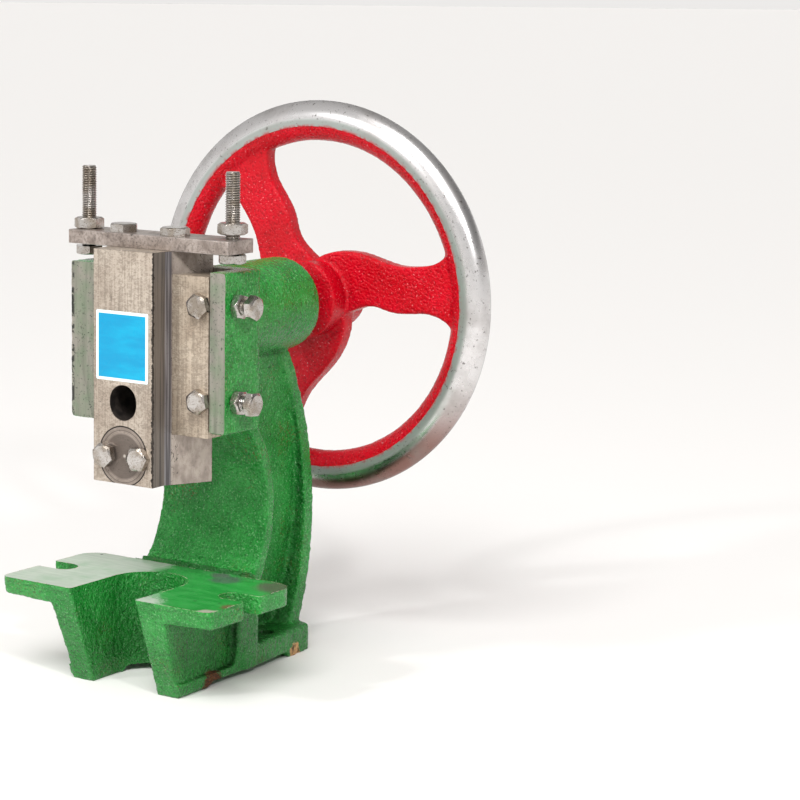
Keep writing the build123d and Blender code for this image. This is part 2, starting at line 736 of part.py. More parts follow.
def make_shaft():
    shaft = prism_y(pinion_outline(), *PINION_Y)
    shaft += rod_y(PINION_ROOT_R, PINION_Y[0], ROOT_END_Y)
    shaft += rod_y(SHOULDER_R, ROOT_END_Y, SHOULDER_END_Y)
    shaft += rod_y(SHAFT_R, ROOT_END_Y, SHAFT_END_Y)
    shaft += rod_y(SEAT_R, SHAFT_END_Y - PAST, SEAT_END_Y)
    stub = rod_y(STUB_R, SEAT_END_Y - PAST, STUB_END)
    shaft += chamfer(round_edges(stub)[-1], PAST)
    return shaft - key_block(SCREW_GAP / 2, KEY_Y, SEAT_R + PAST)


def make_bush(y_range):
    bore = rod_y(SHAFT_R + RUN_GAP, y_range[0] - PAST, y_range[1] + PAST)
    return rod_y(BUSH_R - SCREW_GAP / 2, *y_range) - bore


def make_thrust_collar():
    front, back = THRUST_COLLAR_Y
    collar = rod_y(THRUST_COLLAR_R, front, back)
    collar = chamfer(round_edges(collar), THRUST_COLLAR_EDGE)
    collar -= rod_y(SHAFT_R + SCREW_GAP / 2, front - PAST, back + PAST)
    top = AXIS_Z + THRUST_COLLAR_R + PAST
    return collar - rod_z(M5_R + SCREW_GAP, AXIS_Z, top, AXIS_X, (front + back) / 2)


def make_collar_screw():
    middle = sum(THRUST_COLLAR_Y) / 2
    top = AXIS_Z + THRUST_COLLAR_R - COLLAR_SCREW_RECESS
    screw = rod_z(M5_R, AXIS_Z + SHAFT_R + SCREW_GAP, top, AXIS_X, middle)
    socket = hexagon(COLLAR_SOCKET, COLLAR_SOCKET_DEPTH)
    return screw - Pos(AXIS_X, middle, top - COLLAR_SOCKET_DEPTH) * socket


def spoke_outline():
    """One S-curved spoke about the wheel centre, as (x, z), running up and to the left."""
    upper = Spline(
        (3, 17), (-9, 26.5), (-17, 35), (-20.5, 46), (-27, 57.5), (-34, 68), (-36.5, 80), (-29, 96)
    )
    lower = Spline(
        (-17, -13), (-29, -4), (-36, 6.5), (-41, 20), (-45.5, 35), (-53, 47.5), (-62.5, 57.5), (-79, 59)
    )
    rim_end = Line(upper @ 1, lower @ 1)
    hub_end = Line(upper @ 0, lower @ 0)
    return make_face(Curve() + [upper, rim_end, lower, hub_end])


def make_wheel():
    centre = Pos(AXIS_X, 0, AXIS_Z)
    half_width = (RIM_R - RIM_INNER_R) / 2
    rim_section = Pos(RIM_INNER_R + half_width, RIM_Y) * Ellipse(half_width, RIM_HALF_THICK)
    hub_section = polygon(
        (0, HUB_Y[0]),
        (HUB_FRONT_R, HUB_Y[0]),
        (HUB_R, HUB_Y[1]),
        (HUB_BACK_R, HUB_Y[2]),
        (0, HUB_Y[2]),
    )
    wheel = centre * revolve(rim_section, Axis.Y)
    wheel += centre * revolve(hub_section, Axis.Y)
    for index in range(SPOKES):
        spoke = Rot(0, 0, 360 * index / SPOKES) * spoke_outline()
        wheel += prism_y(Pos(AXIS_X, AXIS_Z) * spoke, *SPOKE_Y)
    through = (HUB_Y[0] - PAST, HUB_Y[2] + PAST)
    wheel -= rod_y(SEAT_R + SCREW_GAP, *through)
    return wheel - key_block(SCREW_GAP / 2, through, KEY_Z[1] + SCREW_GAP)


def make_wheel_washer():
    hole = rod_y(STUB_R + LOOSE_GAP, WASHER_Y[0] - PAST, WASHER_Y[1] + PAST)
    return rod_y(WASHER_R, *WASHER_Y) - hole


def make_wheel_nut():
    nut = hex_nut(STUB_R, WHEEL_NUT_FLATS, WHEEL_NUT_HEIGHT)
    return place(nut, AXIS_X, WASHER_Y[1], AXIS_Z, (0, 1, 0), WHEEL_NUT_TURN)


def main():
    os.makedirs("parts", exist_ok=True)
    save("body_casting", make_body())
    save("gib", make_gib())
    save("gib_bolts", *make_gib_bolts())
    save("gib_adjusting_screws", *make_gib_screws())
    save("gib_lock_nuts", *make_gib_nuts())
    save("front_bush", make_bush(FRONT_BUSH_Y))
    save("rear_bush", make_bush(REAR_BUSH_Y))
    save("pinion_shaft", make_shaft())
    save("thrust_collar", make_thrust_collar())
    save("collar_set_screw", make_collar_screw())
    save("handwheel", make_wheel())
    save("wheel_key", key_block(0, KEY_Y, KEY_Z[1]))
    save("wheel_washer", make_wheel_washer())
    save("wheel_nut", make_wheel_nut())
    save("ram", make_ram())
    save("ram_rack", make_rack())
    save("rack_screws", *make_rack_screws())
    save("tool_clamp_cap", make_clamp_cap())
    save("clamp_bolts", *make_clamp_bolts())
    save("stop_plate", make_stop_plate())
    save("stop_plate_bolts", *make_plate_bolts())
    save("depth_stop_bolts", *make_stop_bolts())
    save("stop_lock_nuts", *make_stop_nuts())
    save("label_plate", make_label())


if __name__ == "__main__":
    main()
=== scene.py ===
import bpy
import bmesh
import math
from mathutils import Matrix, Vector


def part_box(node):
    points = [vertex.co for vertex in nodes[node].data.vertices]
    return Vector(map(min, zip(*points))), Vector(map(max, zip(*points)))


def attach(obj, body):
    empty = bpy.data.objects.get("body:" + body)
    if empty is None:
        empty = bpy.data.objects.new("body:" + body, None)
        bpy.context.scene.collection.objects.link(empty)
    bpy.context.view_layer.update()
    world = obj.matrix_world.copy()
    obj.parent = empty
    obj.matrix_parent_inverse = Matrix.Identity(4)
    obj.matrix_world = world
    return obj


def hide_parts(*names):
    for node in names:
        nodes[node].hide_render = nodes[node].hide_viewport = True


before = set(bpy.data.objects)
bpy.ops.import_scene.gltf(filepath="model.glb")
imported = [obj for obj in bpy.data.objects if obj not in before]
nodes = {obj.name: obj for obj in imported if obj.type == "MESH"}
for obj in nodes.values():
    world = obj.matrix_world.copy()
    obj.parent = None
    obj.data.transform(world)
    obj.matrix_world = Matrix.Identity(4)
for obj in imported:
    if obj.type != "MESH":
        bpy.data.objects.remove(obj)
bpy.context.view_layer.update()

MM = 0.001

# Sizes in millimetres, about the tool axis (X, Y) and the bench (Z).
CENTRE = 5.0              # centre plane of the casting
TABLE_Z = 56.0
RAM_HALF = 20.0
RAM_FRONT = -20.0
WINDOW_Z = 157.0
CLAMP_X = 11.5
CLAMP_Z = 128.0
HEAD_FRONT = -6.0
HEAD_TOP = 229.0
WAYS_FLOOR = 15.55
FLANK_FRONT = -9.6        # where the ram's dovetail flanks start
FLANK_SLOPE = 13.0 / 25.1
FLANK_GAP = 0.06
EAR_INNER = 46.9          # the ear that holds the gib's side screws
EAR_OUTER = 56.7
GIB_BOLT_X = 40.5
GIB_SCREW_Y = 4.0
GIB_Z = (160.0, 211.0)    # heights of the gib's bolts and side screws
PLATE_TOP = 246.0
PLATE_BOLT_X = 17.3
STOP_X = 48.2
STOP_Y = 5.0
RIM_R = 102.5             # middle of the handwheel rim's oval section, and its half sizes
RIM_Y = 159.7
RIM_HALF_R = 11.5
RIM_HALF_Y = 8.5
RIM_INNER = 99.5          # where the turned rim meets the red paint
M8_R = 4.0
M8_PITCH = 1.25
M8_DEPTH = 0.62
HEAD_HEIGHT = 4.6
SMALL_FLATS = 12.0
LARGE_FLATS = 14.0

WELD = 2e-6               # metres within which corners are merged
FLAT_ANGLE = 1.0          # degrees: flatter edges are merged into one face
SHARP_ANGLE = 30.0        # degrees: sharper edges are rounded


# ---------------------------------------------------------------- node boxes
def low(name, axis):
    """A CAD node's lowest coordinate along an axis, in metres."""
    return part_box(name)[0][axis]


def high(name, axis):
    """A CAD node's highest coordinate along an axis, in metres."""
    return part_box(name)[1][axis]


AXIS_X = (low("handwheel", 0) + high("handwheel", 0)) / 2
AXIS_Z = (low("handwheel", 2) + high("handwheel", 2)) / 2
TOOL_X = (low("ram", 0) + high("ram", 0)) / 2
TOOL_Y = low("ram", 1) - RAM_FRONT * MM


def at(x, y, z):
    """A point given in millimetres from the tool axis and the bench."""
    return Vector((TOOL_X + x * MM, TOOL_Y + y * MM, z * MM))


# ---------------------------------------------------------------- shaders
def tone(red, green, blue):
    """Linear colour from an 8-bit display colour."""
    out = []
    for channel in (red, green, blue):
        value = channel / 255
        out.append(value / 12.92 if value <= 0.04045 else ((value + 0.055) / 1.055) ** 2.4)
    return (*out, 1.0)


class Shader:
    """One node material, whose patterns run in the piece's own coordinates and move with it."""

    def __init__(self, name):
        self.material = bpy.data.materials.new(name)
        self.material.use_nodes = True
        self.tree = self.material.node_tree
        self.tree.nodes.clear()
        self.coords = self.node("ShaderNodeTexCoord")
        self.object = self.coords.outputs["Object"]
        self.xyz = self.node("ShaderNodeSeparateXYZ", Vector=self.object).outputs
        self.facing = self.node(
            "ShaderNodeSeparateXYZ", Vector=self.coords.outputs["Normal"]
        ).outputs

    def node(self, kind, _props=None, **inputs):
        """A new node with its properties set and its named inputs fed."""
        made = self.tree.nodes.new(kind)
        for key, value in (_props or {}).items():
            setattr(made, key, value)
        for key, value in inputs.items():
            self.feed(made.inputs[key.replace("_", " ")], value)
        return made

    def feed(self, socket, value):
        """Links another node's output to an input, or sets the input to a plain value."""
        if isinstance(value, bpy.types.NodeSocket):
            self.tree.links.new(value, socket)
        else:
            socket.default_value = value

    def calc(self, operation, first, second=0.0, clamp=False):
        made = self.node("ShaderNodeMath", {"operation": operation, "use_clamp": clamp})
        self.feed(made.inputs[0], first)
        self.feed(made.inputs[1], second)
        return made.outputs[0]

    def stretched(self, scale, offset=(0, 0, 0)):
        made = self.node("ShaderNodeMapping", Vector=self.object)
        made.inputs["Scale"].default_value = scale
        made.inputs["Location"].default_value = offset
        return made.outputs[0]

    def noise(self, scale, detail=2.0, rough=0.5, stretch=(1, 1, 1), offset=(0, 0, 0), warp=0.0):
        """Fractal noise from 0 to 1, with a scale in cycles per metre."""
        made = self.node("ShaderNodeTexNoise", Vector=self.stretched(stretch, offset))
        made.inputs["Scale"].default_value = scale
        made.inputs["Detail"].default_value = detail
        made.inputs["Roughness"].default_value = rough
        made.inputs["Distortion"].default_value = warp
        return made.outputs["Fac"]

    def cells(self, scale):
        made = self.node("ShaderNodeTexVoronoi", Vector=self.object)
        made.inputs["Scale"].default_value = scale
        return made.outputs["Distance"]

    def between(self, value, start, end):
        """0 at start and 1 at end, smooth between them; start may be above end."""
        made = self.node("ShaderNodeMapRange", {"interpolation_type": "SMOOTHSTEP"}, Value=value)
        made.inputs["From Min"].default_value = start
        made.inputs["From Max"].default_value = end
        return made.outputs["Result"]

    def over(self, color, mask, paint, amount):
        """Lays a paint over a colour where a mask is 1, by an amount."""
        return self.mix(self.calc("MULTIPLY", mask, amount), color, paint)

    def both(self, first, second):
        """The product of two masks."""
        return self.calc("MULTIPLY", first, second)

    def centred(self, value):
        """A noise moved to run from -0.5 to 0.5."""
        return self.calc("SUBTRACT", value, 0.5)

    def radius(self, x, z):
        """Distance from a line along Y."""
        flat = self.node("ShaderNodeCombineXYZ")
        self.feed(flat.inputs[0], self.calc("SUBTRACT", self.xyz[0], x))
        self.feed(flat.inputs[2], self.calc("SUBTRACT", self.xyz[2], z))
        length = self.node("ShaderNodeVectorMath", {"operation": "LENGTH"})
        self.feed(length.inputs[0], flat.outputs[0])
        return length.outputs["Value"]

    def rings(self, radius, scale):
        """Concentric lathe lines."""
        made = self.node("ShaderNodeTexNoise", {"noise_dimensions": "1D"})
        self.feed(made.inputs["W"], radius)
        made.inputs["Scale"].default_value = scale
        return made.outputs["Fac"]

    def mix(self, factor, first, second):
        """A colour between two colours."""
        made = self.node("ShaderNodeMix", {"data_type": "RGBA"})
        self.feed(made.inputs[0], factor)
        self.feed(made.inputs[6], first)
        self.feed(made.inputs[7], second)
        return made.outputs[2]

    def blend(self, factor, first, second):
        """A number between two numbers."""
        made = self.node("ShaderNodeMix", {"data_type": "FLOAT"})
        self.feed(made.inputs[0], factor)
        self.feed(made.inputs[2], first)
        self.feed(made.inputs[3], second)
        return made.outputs[0]

    def edges(self, start, end):
        """1 on convex edges of a dense mesh."""
        point = self.node("ShaderNodeNewGeometry").outputs["Pointiness"]
        return self.between(point, start, end)

    def rim(self, width, keen=0.9):
        """1 along the sharp edges of any mesh, within a width in metres."""
        rounded = self.node("ShaderNodeBevel", {"samples": 6})
        rounded.inputs["Radius"].default_value = width
        straight = self.node("ShaderNodeNewGeometry").outputs["Normal"]
        made = self.node("ShaderNodeVectorMath", {"operation": "DOT_PRODUCT"})
        self.feed(made.inputs[0], rounded.outputs[0])
        self.feed(made.inputs[1], straight)
        return self.between(made.outputs["Value"], 0.995, keen)

    def corner_shade(self, reach):
        """0 in the open and 1 deep in a piece's own corners within a reach in metres; the mask for
        painted shade in corners.
        """
        made = self.node("ShaderNodeAmbientOcclusion", {"samples": 6, "only_local": True})
        made.inputs["Distance"].default_value = reach
        return self.between(made.outputs["AO"], 0.85, 0.25)

    def near(self, x, y, z, radius, soft=0.4, wobble=None):
        """1 inside a ball about a point in metres, with an uneven border."""
        made = self.node("ShaderNodeVectorMath", {"operation": "DISTANCE"})
        self.feed(made.inputs[0], self.object)
        made.inputs[1].default_value = (x, y, z)
        distance = made.outputs["Value"]
        if wobble is not None:
            distance = self.calc("ADD", distance, self.calc("MULTIPLY", wobble, radius))
        return self.between(distance, radius, radius * (1 - soft))

    def bump(self, height, distance, normal=None, strength=1.0):
        """Tilts the normal by a height, over any bump already there."""
        made = self.node("ShaderNodeBump", Height=height)
        made.inputs["Distance"].default_value = distance
        made.inputs["Strength"].default_value = strength
        if normal is not None:
            self.feed(made.inputs["Normal"], normal)
        return made.outputs["Normal"]

    def finish(
        self, color, metallic, roughness, normal=None, coat=0.0, coat_rough=0.1, specular=0.5
    ):
        surface = self.node("ShaderNodeBsdfPrincipled")
        self.feed(surface.inputs["Base Color"], color)
        self.feed(surface.inputs["Metallic"], metallic)
        self.feed(surface.inputs["Roughness"], roughness)
        self.feed(surface.inputs["Specular IOR Level"], specular)
        self.feed(surface.inputs["Coat Weight"], coat)
        self.feed(surface.inputs["Coat Roughness"], coat_rough)
        if normal is not None:
            self.feed(surface.inputs["Normal"], normal)
        output = self.node("ShaderNodeOutputMaterial")
        self.tree.links.new(surface.outputs[0], output.inputs["Surface"])
        return self.material


GREEN = tone(20, 136, 44)
# Deep green for the painted shade in the pebbles' hollows.
GREEN_PEBBLE_SHADE = tone(0, 84, 18)
GREEN_LIGHT = tone(44, 158, 62)
GREY_PALE = tone(184, 196, 180)
RUST = tone(112, 66, 28)
CHIP = tone(206, 160, 110)


def casting_paint():
    """Thick glossy green over sand-cast iron, worn to rust and iron at the pad edges, with painted
    shade and painted glints.
    """
    s = Shader("casting_paint")
    pebble = s.noise(900, 2, 0.5)
    swell = s.noise(330, 2, 0.5, offset=(0.7, 0.1, 0.2))
    grain = s.noise(1700, 2, 0.6)
    broad = s.noise(50, 3, 0.6)
    color = s.mix(s.between(broad, 0.35, 0.7), GREEN, GREEN_LIGHT)
    olive = s.noise(34, 4, 0.65, offset=(0.4, 0.9, 0.3))
    speckle = s.between(s.noise(700, 3, 0.7), 0.50, 0.62)
    color = s.mix(s.both(s.between(olive, 0.50, 0.68), speckle), color, tone(84, 104, 34))
    # Painted shade: deep green in the hollows of the pebble bumps.
    hollow = s.between(pebble, 0.48, 0.36)
    color = s.over(color, hollow, GREEN_PEBBLE_SHADE, 0.45)
    # Painted highlight: pale green glints on the tops of the pebble bumps.
    glint = s.between(pebble, 0.60, 0.68)
    color = s.over(color, glint, tone(140, 206, 140), 0.4)
    # Painted shade: near-black green deep in the casting's own corners and recesses.
    color = s.over(color, s.corner_shade(45 * MM), tone(0, 22, 2), 0.92)
    # Painted shade: the green darkens towards the bottom of the casting.
    low_shade = s.between(s.xyz[2], 54 * MM, 20 * MM)
    color = s.over(color, low_shade, tone(16, 70, 8), 0.34)
    scuff = s.noise(240, 4, 0.65, offset=(0.3, 0.1, 0.7))
    edge = s.edges(0.545, 0.60)
    worn = s.both(edge, s.between(scuff, 0.50, 0.58))
    color = s.over(color, worn, tone(140, 124, 84), 0.8)
    high_edge = s.near(*at(50, 28, 229), 26 * MM, 0.3)
    bare_top = s.both(s.both(high_edge, s.edges(0.52, 0.56)), s.between(scuff, 0.42, 0.5))
    color = s.mix(bare_top, color, tone(142, 96, 48))
    ragged = s.centred(s.noise(300, 3, 0.7))
    rust = s.near(*at(38.5, 11.5, 1.5), 9.5 * MM, 0.25, ragged)
    color = s.mix(rust, color, s.mix(s.between(grain, 0.4, 0.6), RUST, tone(50, 28, 12)))
    chip = s.near(*at(36, 95, 1.5), 6.5 * MM, 0.2, ragged)
    color = s.mix(chip, color, s.mix(s.between(scuff, 0.45, 0.6), CHIP, tone(90, 70, 40)))
    bare = s.calc("MAXIMUM", rust, chip)
    rough = s.blend(bare, s.blend(hollow, 0.16, 0.26), 0.8)
    normal = s.bump(swell, 2.6 * MM)
    normal = s.bump(pebble, 1.7 * MM, normal)
    normal = s.bump(grain, 0.15 * MM, normal)
    return s.finish(color, 0.0, rough, normal, coat=s.blend(bare, 0.12, 0.0), specular=0.42)


def table_face():
    """The milled table: bare and pale on the left, green overspray and worn rims on the right."""
    s = Shader("table_face")
    wander = s.noise(70, 4, 0.6, warp=0.6)
    speck = s.noise(420, 3, 0.6)
    x = s.calc("ADD", s.xyz[0], s.both(s.centred(wander), 0.030))
    left = at(-12, 0, 0).x
    green = s.between(x, left - 0.008, left + 0.010)
    tip = s.near(*at(24, -40, 56), 19 * MM, 0.6, s.centred(speck))
    green = s.both(green, s.calc("SUBTRACT", 1.0, tip))
    streak = s.noise(60, 4, 0.6, stretch=(1.0, 3.0, 1.0), offset=(0.2, 0, 0))
    paint = s.mix(s.between(streak, 0.35, 0.65), tone(34, 146, 58), tone(62, 168, 80))
    milled = s.noise(900, 2, 0.5, stretch=(0.06, 1.0, 1.0))
    steel = s.mix(s.between(milled, 0.3, 0.7), GREY_PALE, tone(166, 180, 164))
    blotches = s.noise(45, 3, 0.6, offset=(0.5, 0.2, 0))
    steel = s.mix(s.between(blotches, 0.45, 0.85), steel, tone(132, 168, 134))
    color = s.mix(green, steel, paint)
    ragged = s.centred(s.noise(160, 4, 0.7))
    patches = [
        (at(65, 31, 56), 15 * MM, tone(96, 88, 82)),
        (at(33, 29, 56), 11 * MM, tone(84, 100, 92)),
        (at(24, 36, 56), 7 * MM, tone(96, 104, 98)),
        (at(70, -37, 56), 9 * MM, tone(190, 184, 170)),
        (at(72, -20, 56), 7 * MM, tone(120, 88, 66)),
    ]
    for centre, radius, worn in patches:
        color = s.mix(s.near(*centre, radius, 0.45, ragged), color, worn)
    pits = s.between(s.cells(75), 0.085, 0.055)
    color = s.over(color, pits, tone(40, 44, 38), 0.9)
    chipped = s.both(s.rim(1.4 * MM, 0.96), s.between(s.noise(150, 4, 0.65), 0.44, 0.52))
    under = s.mix(s.between(speck, 0.45, 0.58), tone(214, 206, 188), tone(110, 84, 52))
    color = s.mix(chipped, color, under)
    normal = s.bump(milled, 0.02 * MM)
    normal = s.bump(wander, 0.25 * MM, normal)
    rough = s.blend(green, 0.42, 0.2)
    return s.finish(color, 0.0, rough, normal, coat=s.blend(green, 0.15, 0.6))


def head_face():
    """The head's ground front: grey iron under a thin green mist, chipped along its left edge."""
    s = Shader("head_face")
    cloud = s.noise(60, 4, 0.6)
    pores = s.noise(900, 3, 0.6)
    lines = s.noise(500, 2, 0.5, stretch=(1.0, 1.0, 0.05))
    steel = s.mix(s.between(lines, 0.3, 0.7), tone(120, 115, 107), tone(142, 135, 127))
    low_z = s.between(s.xyz[2], 0.185, 0.150)
    mist = s.calc("ADD", s.between(cloud, 0.35, 0.75), s.both(low_z, 0.4), clamp=True)
    color = s.mix(s.both(mist, 0.42), steel, tone(56, 116, 60))
    color = s.mix(s.between(pores, 0.60, 0.68), color, tone(50, 62, 46))
    rim_left = s.between(s.xyz[0], at(-44.2, 0, 0).x, at(-45.6, 0, 0).x)
    chips = s.both(rim_left, s.between(s.noise(180, 4, 0.7), 0.46, 0.50))
    color = s.mix(chips, color, tone(28, 30, 24))
    normal = s.bump(pores, 0.06 * MM)
    return s.finish(color, 0.1, 0.42, normal)


def ways_metal():
    """Scraped slide faces inside the head, dark with oil."""
    s = Shader("ways_metal")
    lines = s.noise(600, 2, 0.5, stretch=(1.0, 1.0, 0.03))
    color = s.mix(s.between(lines, 0.3, 0.7), tone(96, 92, 86), tone(140, 134, 126))
    return s.finish(color, 0.7, 0.4, s.bump(lines, 0.03 * MM))


def ground_steel(name, light, dark, flank=False):
    """Surface-ground steel: fine grain, vertical lines, stains, pores; the ram's sides carry
    painted shade over streaks, a dark lined band and a lighter flank.
    """
    s = Shader(name)
    lines = s.noise(900, 2, 0.5, stretch=(1.0, 1.0, 0.03))
    grain = s.noise(560, 3, 0.6, stretch=(0.6, 0.6, 1.0), warp=1.5)
    stain = s.noise(44, 5, 0.62, warp=0.4)
    pores = s.noise(1000, 3, 0.65)
    color = s.mix(s.between(stain, 0.28, 0.74), light, dark)
    fine = s.calc("ADD", s.both(lines, 0.4), s.both(grain, 0.6))
    color = s.over(color, s.between(fine, 0.42, 0.60), tone(98, 86, 74), 0.5)
    if flank:
        depth = s.calc("SUBTRACT", s.xyz[1], low("ram", 1))
        # Painted shade: the ram's side cheeks are darker than its front, over grinding streaks.
        turned = s.between(s.calc("ABSOLUTE", s.facing[0]), 0.3, 0.7)
        streak = s.noise(700, 3, 0.6, stretch=(1.0, 1.0, 0.02))
        cheek = s.mix(s.between(streak, 0.36, 0.70), tone(116, 107, 99), tone(78, 72, 68))
        lined = s.mix(s.between(streak, 0.40, 0.60), tone(136, 132, 134), tone(84, 80, 82))
        rough_zone = s.noise(150, 4, 0.65, stretch=(1.0, 1.0, 0.6))
        inner = s.mix(s.between(rough_zone, 0.35, 0.65), tone(178, 166, 156), tone(142, 130, 122))
        crack = s.noise(34, 4, 0.7, offset=(0.3, 0.8, 0.1), warp=1.0)
        crack = s.calc("ABSOLUTE", s.centred(crack))
        inner = s.mix(s.between(crack, 0.006, 0.0), inner, tone(52, 46, 42))
        side = s.mix(s.between(depth, 10.0 * MM, 10.6 * MM), cheek, lined)
        side = s.mix(s.between(depth, 13.2 * MM, 14.4 * MM), side, inner)
        color = s.mix(turned, color, side)
        nick = s.noise(380, 4, 0.75)
        corner = s.calc("SUBTRACT", s.xyz[0], at(20, 0, 0).x)
        corner = s.calc("MAXIMUM", s.calc("ABSOLUTE", corner), s.calc("ABSOLUTE", depth))
        bite = s.calc("ADD", corner, s.both(s.centred(nick), 4.0 * MM))
        color = s.mix(s.between(bite, 1.0 * MM, 0.6 * MM), color, tone(38, 32, 28))
    spots = s.both(s.between(pores, 0.64, 0.70), 0.7)
    color = s.mix(spots, color, tone(58, 50, 44))
    scratches = s.noise(260, 3, 0.7, stretch=(1.0, 1.0, 0.12), offset=(0.6, 0, 0), warp=0.8)
    color = s.over(color, s.between(scratches, 0.66, 0.72), tone(80, 72, 64), 0.5)
    dark_rim = s.both(s.rim(0.7 * MM), s.between(s.noise(200, 4, 0.7), 0.44, 0.54))
    color = s.over(color, dark_rim, tone(60, 52, 44), 0.75)
    rough = s.blend(s.between(stain, 0.3, 0.7), 0.38, 0.5)
    normal = s.bump(fine, 0.06 * MM)
    normal = s.bump(s.between(pores, 0.62, 0.75), 0.06 * MM, normal, strength=-1.0)
    return s.finish(color, 0.45, rough, normal)


def cap_turned():
    """The clamp cap: turned rings, painted shade in its dish, a dark line at its rim and a bright
    centre.
    """
    s = Shader("cap_turned")
    middle_x = (low("tool_clamp_cap", 0) + high("tool_clamp_cap", 0)) / 2
    rim = (high("tool_clamp_cap", 0) - low("tool_clamp_cap", 0)) / 2
    middle_z = high("tool_clamp_cap", 2) - rim
    radius = s.radius(middle_x, middle_z)
    rings = s.rings(radius, 2600)
    stain = s.noise(90, 4, 0.6, warp=0.5)
    pores = s.noise(900, 3, 0.6)
    color = s.mix(s.between(stain, 0.3, 0.7), tone(164, 152, 142), tone(130, 118, 108))
    # Painted shade: darker inside the dish.
    dish = s.between(radius, 13.0 * MM, 11.5 * MM)
    color = s.over(color, dish, tone(86, 76, 70), 0.75)
    ringed = s.between(rings, 0.4, 0.62)
    color = s.over(color, ringed, tone(84, 76, 68), 0.4)
    color = s.mix(s.between(pores, 0.62, 0.70), color, tone(60, 52, 46))
    color = s.mix(s.between(radius, rim - 0.75 * MM, rim - 0.35 * MM), color, tone(24, 20, 18))
    inner = s.calc("ABSOLUTE", s.calc("SUBTRACT", radius, rim - 2.3 * MM))
    color = s.over(color, s.between(inner, 0.35 * MM, 0.1 * MM), tone(64, 56, 50), 0.6)
    spot = s.near(middle_x, low("tool_clamp_cap", 1), middle_z, 1.9 * MM, 0.42)
    color = s.mix(spot, color, tone(226, 218, 208))
    normal = s.bump(rings, 0.02 * MM)
    return s.finish(color, 0.5, 0.36, normal)


def bruised_edge():
    """The broken, dark corner of a ground block."""
    s = Shader("bruised_edge")
    nicks = s.noise(420, 4, 0.75)
    color = s.mix(s.between(nicks, 0.42, 0.56), tone(46, 40, 36), tone(150, 140, 128))
    return s.finish(color, 0.4, 0.5, s.bump(nicks, 0.5 * MM))


def shaded_bore():
    """The unpainted wall of a bore, painted near black as the shade inside the hole."""
    s = Shader("shaded_bore")
    blotches = s.noise(240, 3, 0.6)
    color = s.mix(s.between(blotches, 0.4, 0.65), tone(26, 22, 20), tone(52, 46, 42))
    return s.finish(color, 0.2, 0.5, s.bump(blotches, 0.1 * MM))


def zinc():
    """Zinc-plated screw steel: bright flats, a browner pitted face, dark lines of painted shade in
    its corners and thread roots.
    """
    s = Shader("zinc_fasteners")
    stain = s.noise(150, 3, 0.5)
    fine = s.noise(1100, 3, 0.6)
    color = s.mix(s.between(stain, 0.34, 0.70), tone(196, 192, 188), tone(158, 148, 136))
    color = s.over(color, s.between(fine, 0.52, 0.64), tone(104, 90, 78), 0.6)
    # Painted shade: dark brown in the screws' own corners and thread roots.
    color = s.over(color, s.corner_shade(5 * MM), tone(34, 28, 26), 0.8)
    rough = s.blend(s.between(stain, 0.4, 0.65), 0.16, 0.28)
    return s.finish(color, 0.95, rough, s.bump(fine, 0.05 * MM))


def plate_steel():
    """Mottled hot-rolled stop plate, brighter along its top edges."""
    s = Shader("stop_plate_steel")
    mottle = s.noise(110, 5, 0.66, warp=0.5)
    fine = s.noise(640, 4, 0.65)
    color = s.mix(s.between(mottle, 0.30, 0.72), tone(178, 166, 158), tone(126, 114, 106))
    color = s.over(color, s.between(fine, 0.48, 0.62), tone(84, 74, 68), 0.45)
    spots = s.between(s.noise(360, 3, 0.7, offset=(0.3, 0.3, 0)), 0.62, 0.70)
    color = s.over(color, spots, tone(52, 44, 38), 0.8)
    color = s.over(color, s.rim(0.8 * MM), tone(206, 204, 204), 0.7)
    normal = s.bump(mottle, 0.08 * MM)
    normal = s.bump(fine, 0.04 * MM, normal)
    return s.finish(color, 0.55, 0.36, normal)


def wheel_red():
    """Glossy red over a rough casting, speckled with painted highlights, with painted shade in its
    hollows and corners, and small pits.
    """
    s = Shader("wheel_paint")
    pebble = s.noise(640, 2, 0.5)
    grain = s.noise(1500, 2, 0.6)
    broad = s.noise(40, 3, 0.6)
    color = s.mix(s.between(broad, 0.3, 0.7), tone(184, 0, 18), tone(200, 0, 28))
    # Painted shade: dark red in the hollows of the pebble bumps.
    color = s.over(color, s.between(pebble, 0.46, 0.34), tone(120, 0, 12), 0.45)
    # Painted highlight: pale pink specks on the red.
    glint = s.between(s.noise(850, 2, 0.5, offset=(0.1, 0.5, 0.8)), 0.665, 0.71)
    color = s.over(color, glint, tone(240, 170, 176), 0.35)
    pits = s.between(s.cells(160), 0.10, 0.05)
    color = s.over(color, pits, tone(70, 4, 10), 0.5)
    # Painted shade: dark red in the wheel's own corners.
    color = s.over(color, s.corner_shade(14 * MM), tone(60, 0, 6), 0.6)
    normal = s.bump(pebble, 1.2 * MM)
    normal = s.bump(grain, 0.2 * MM, normal)
    return s.finish(color, 0.0, 0.18, normal, specular=0.22)


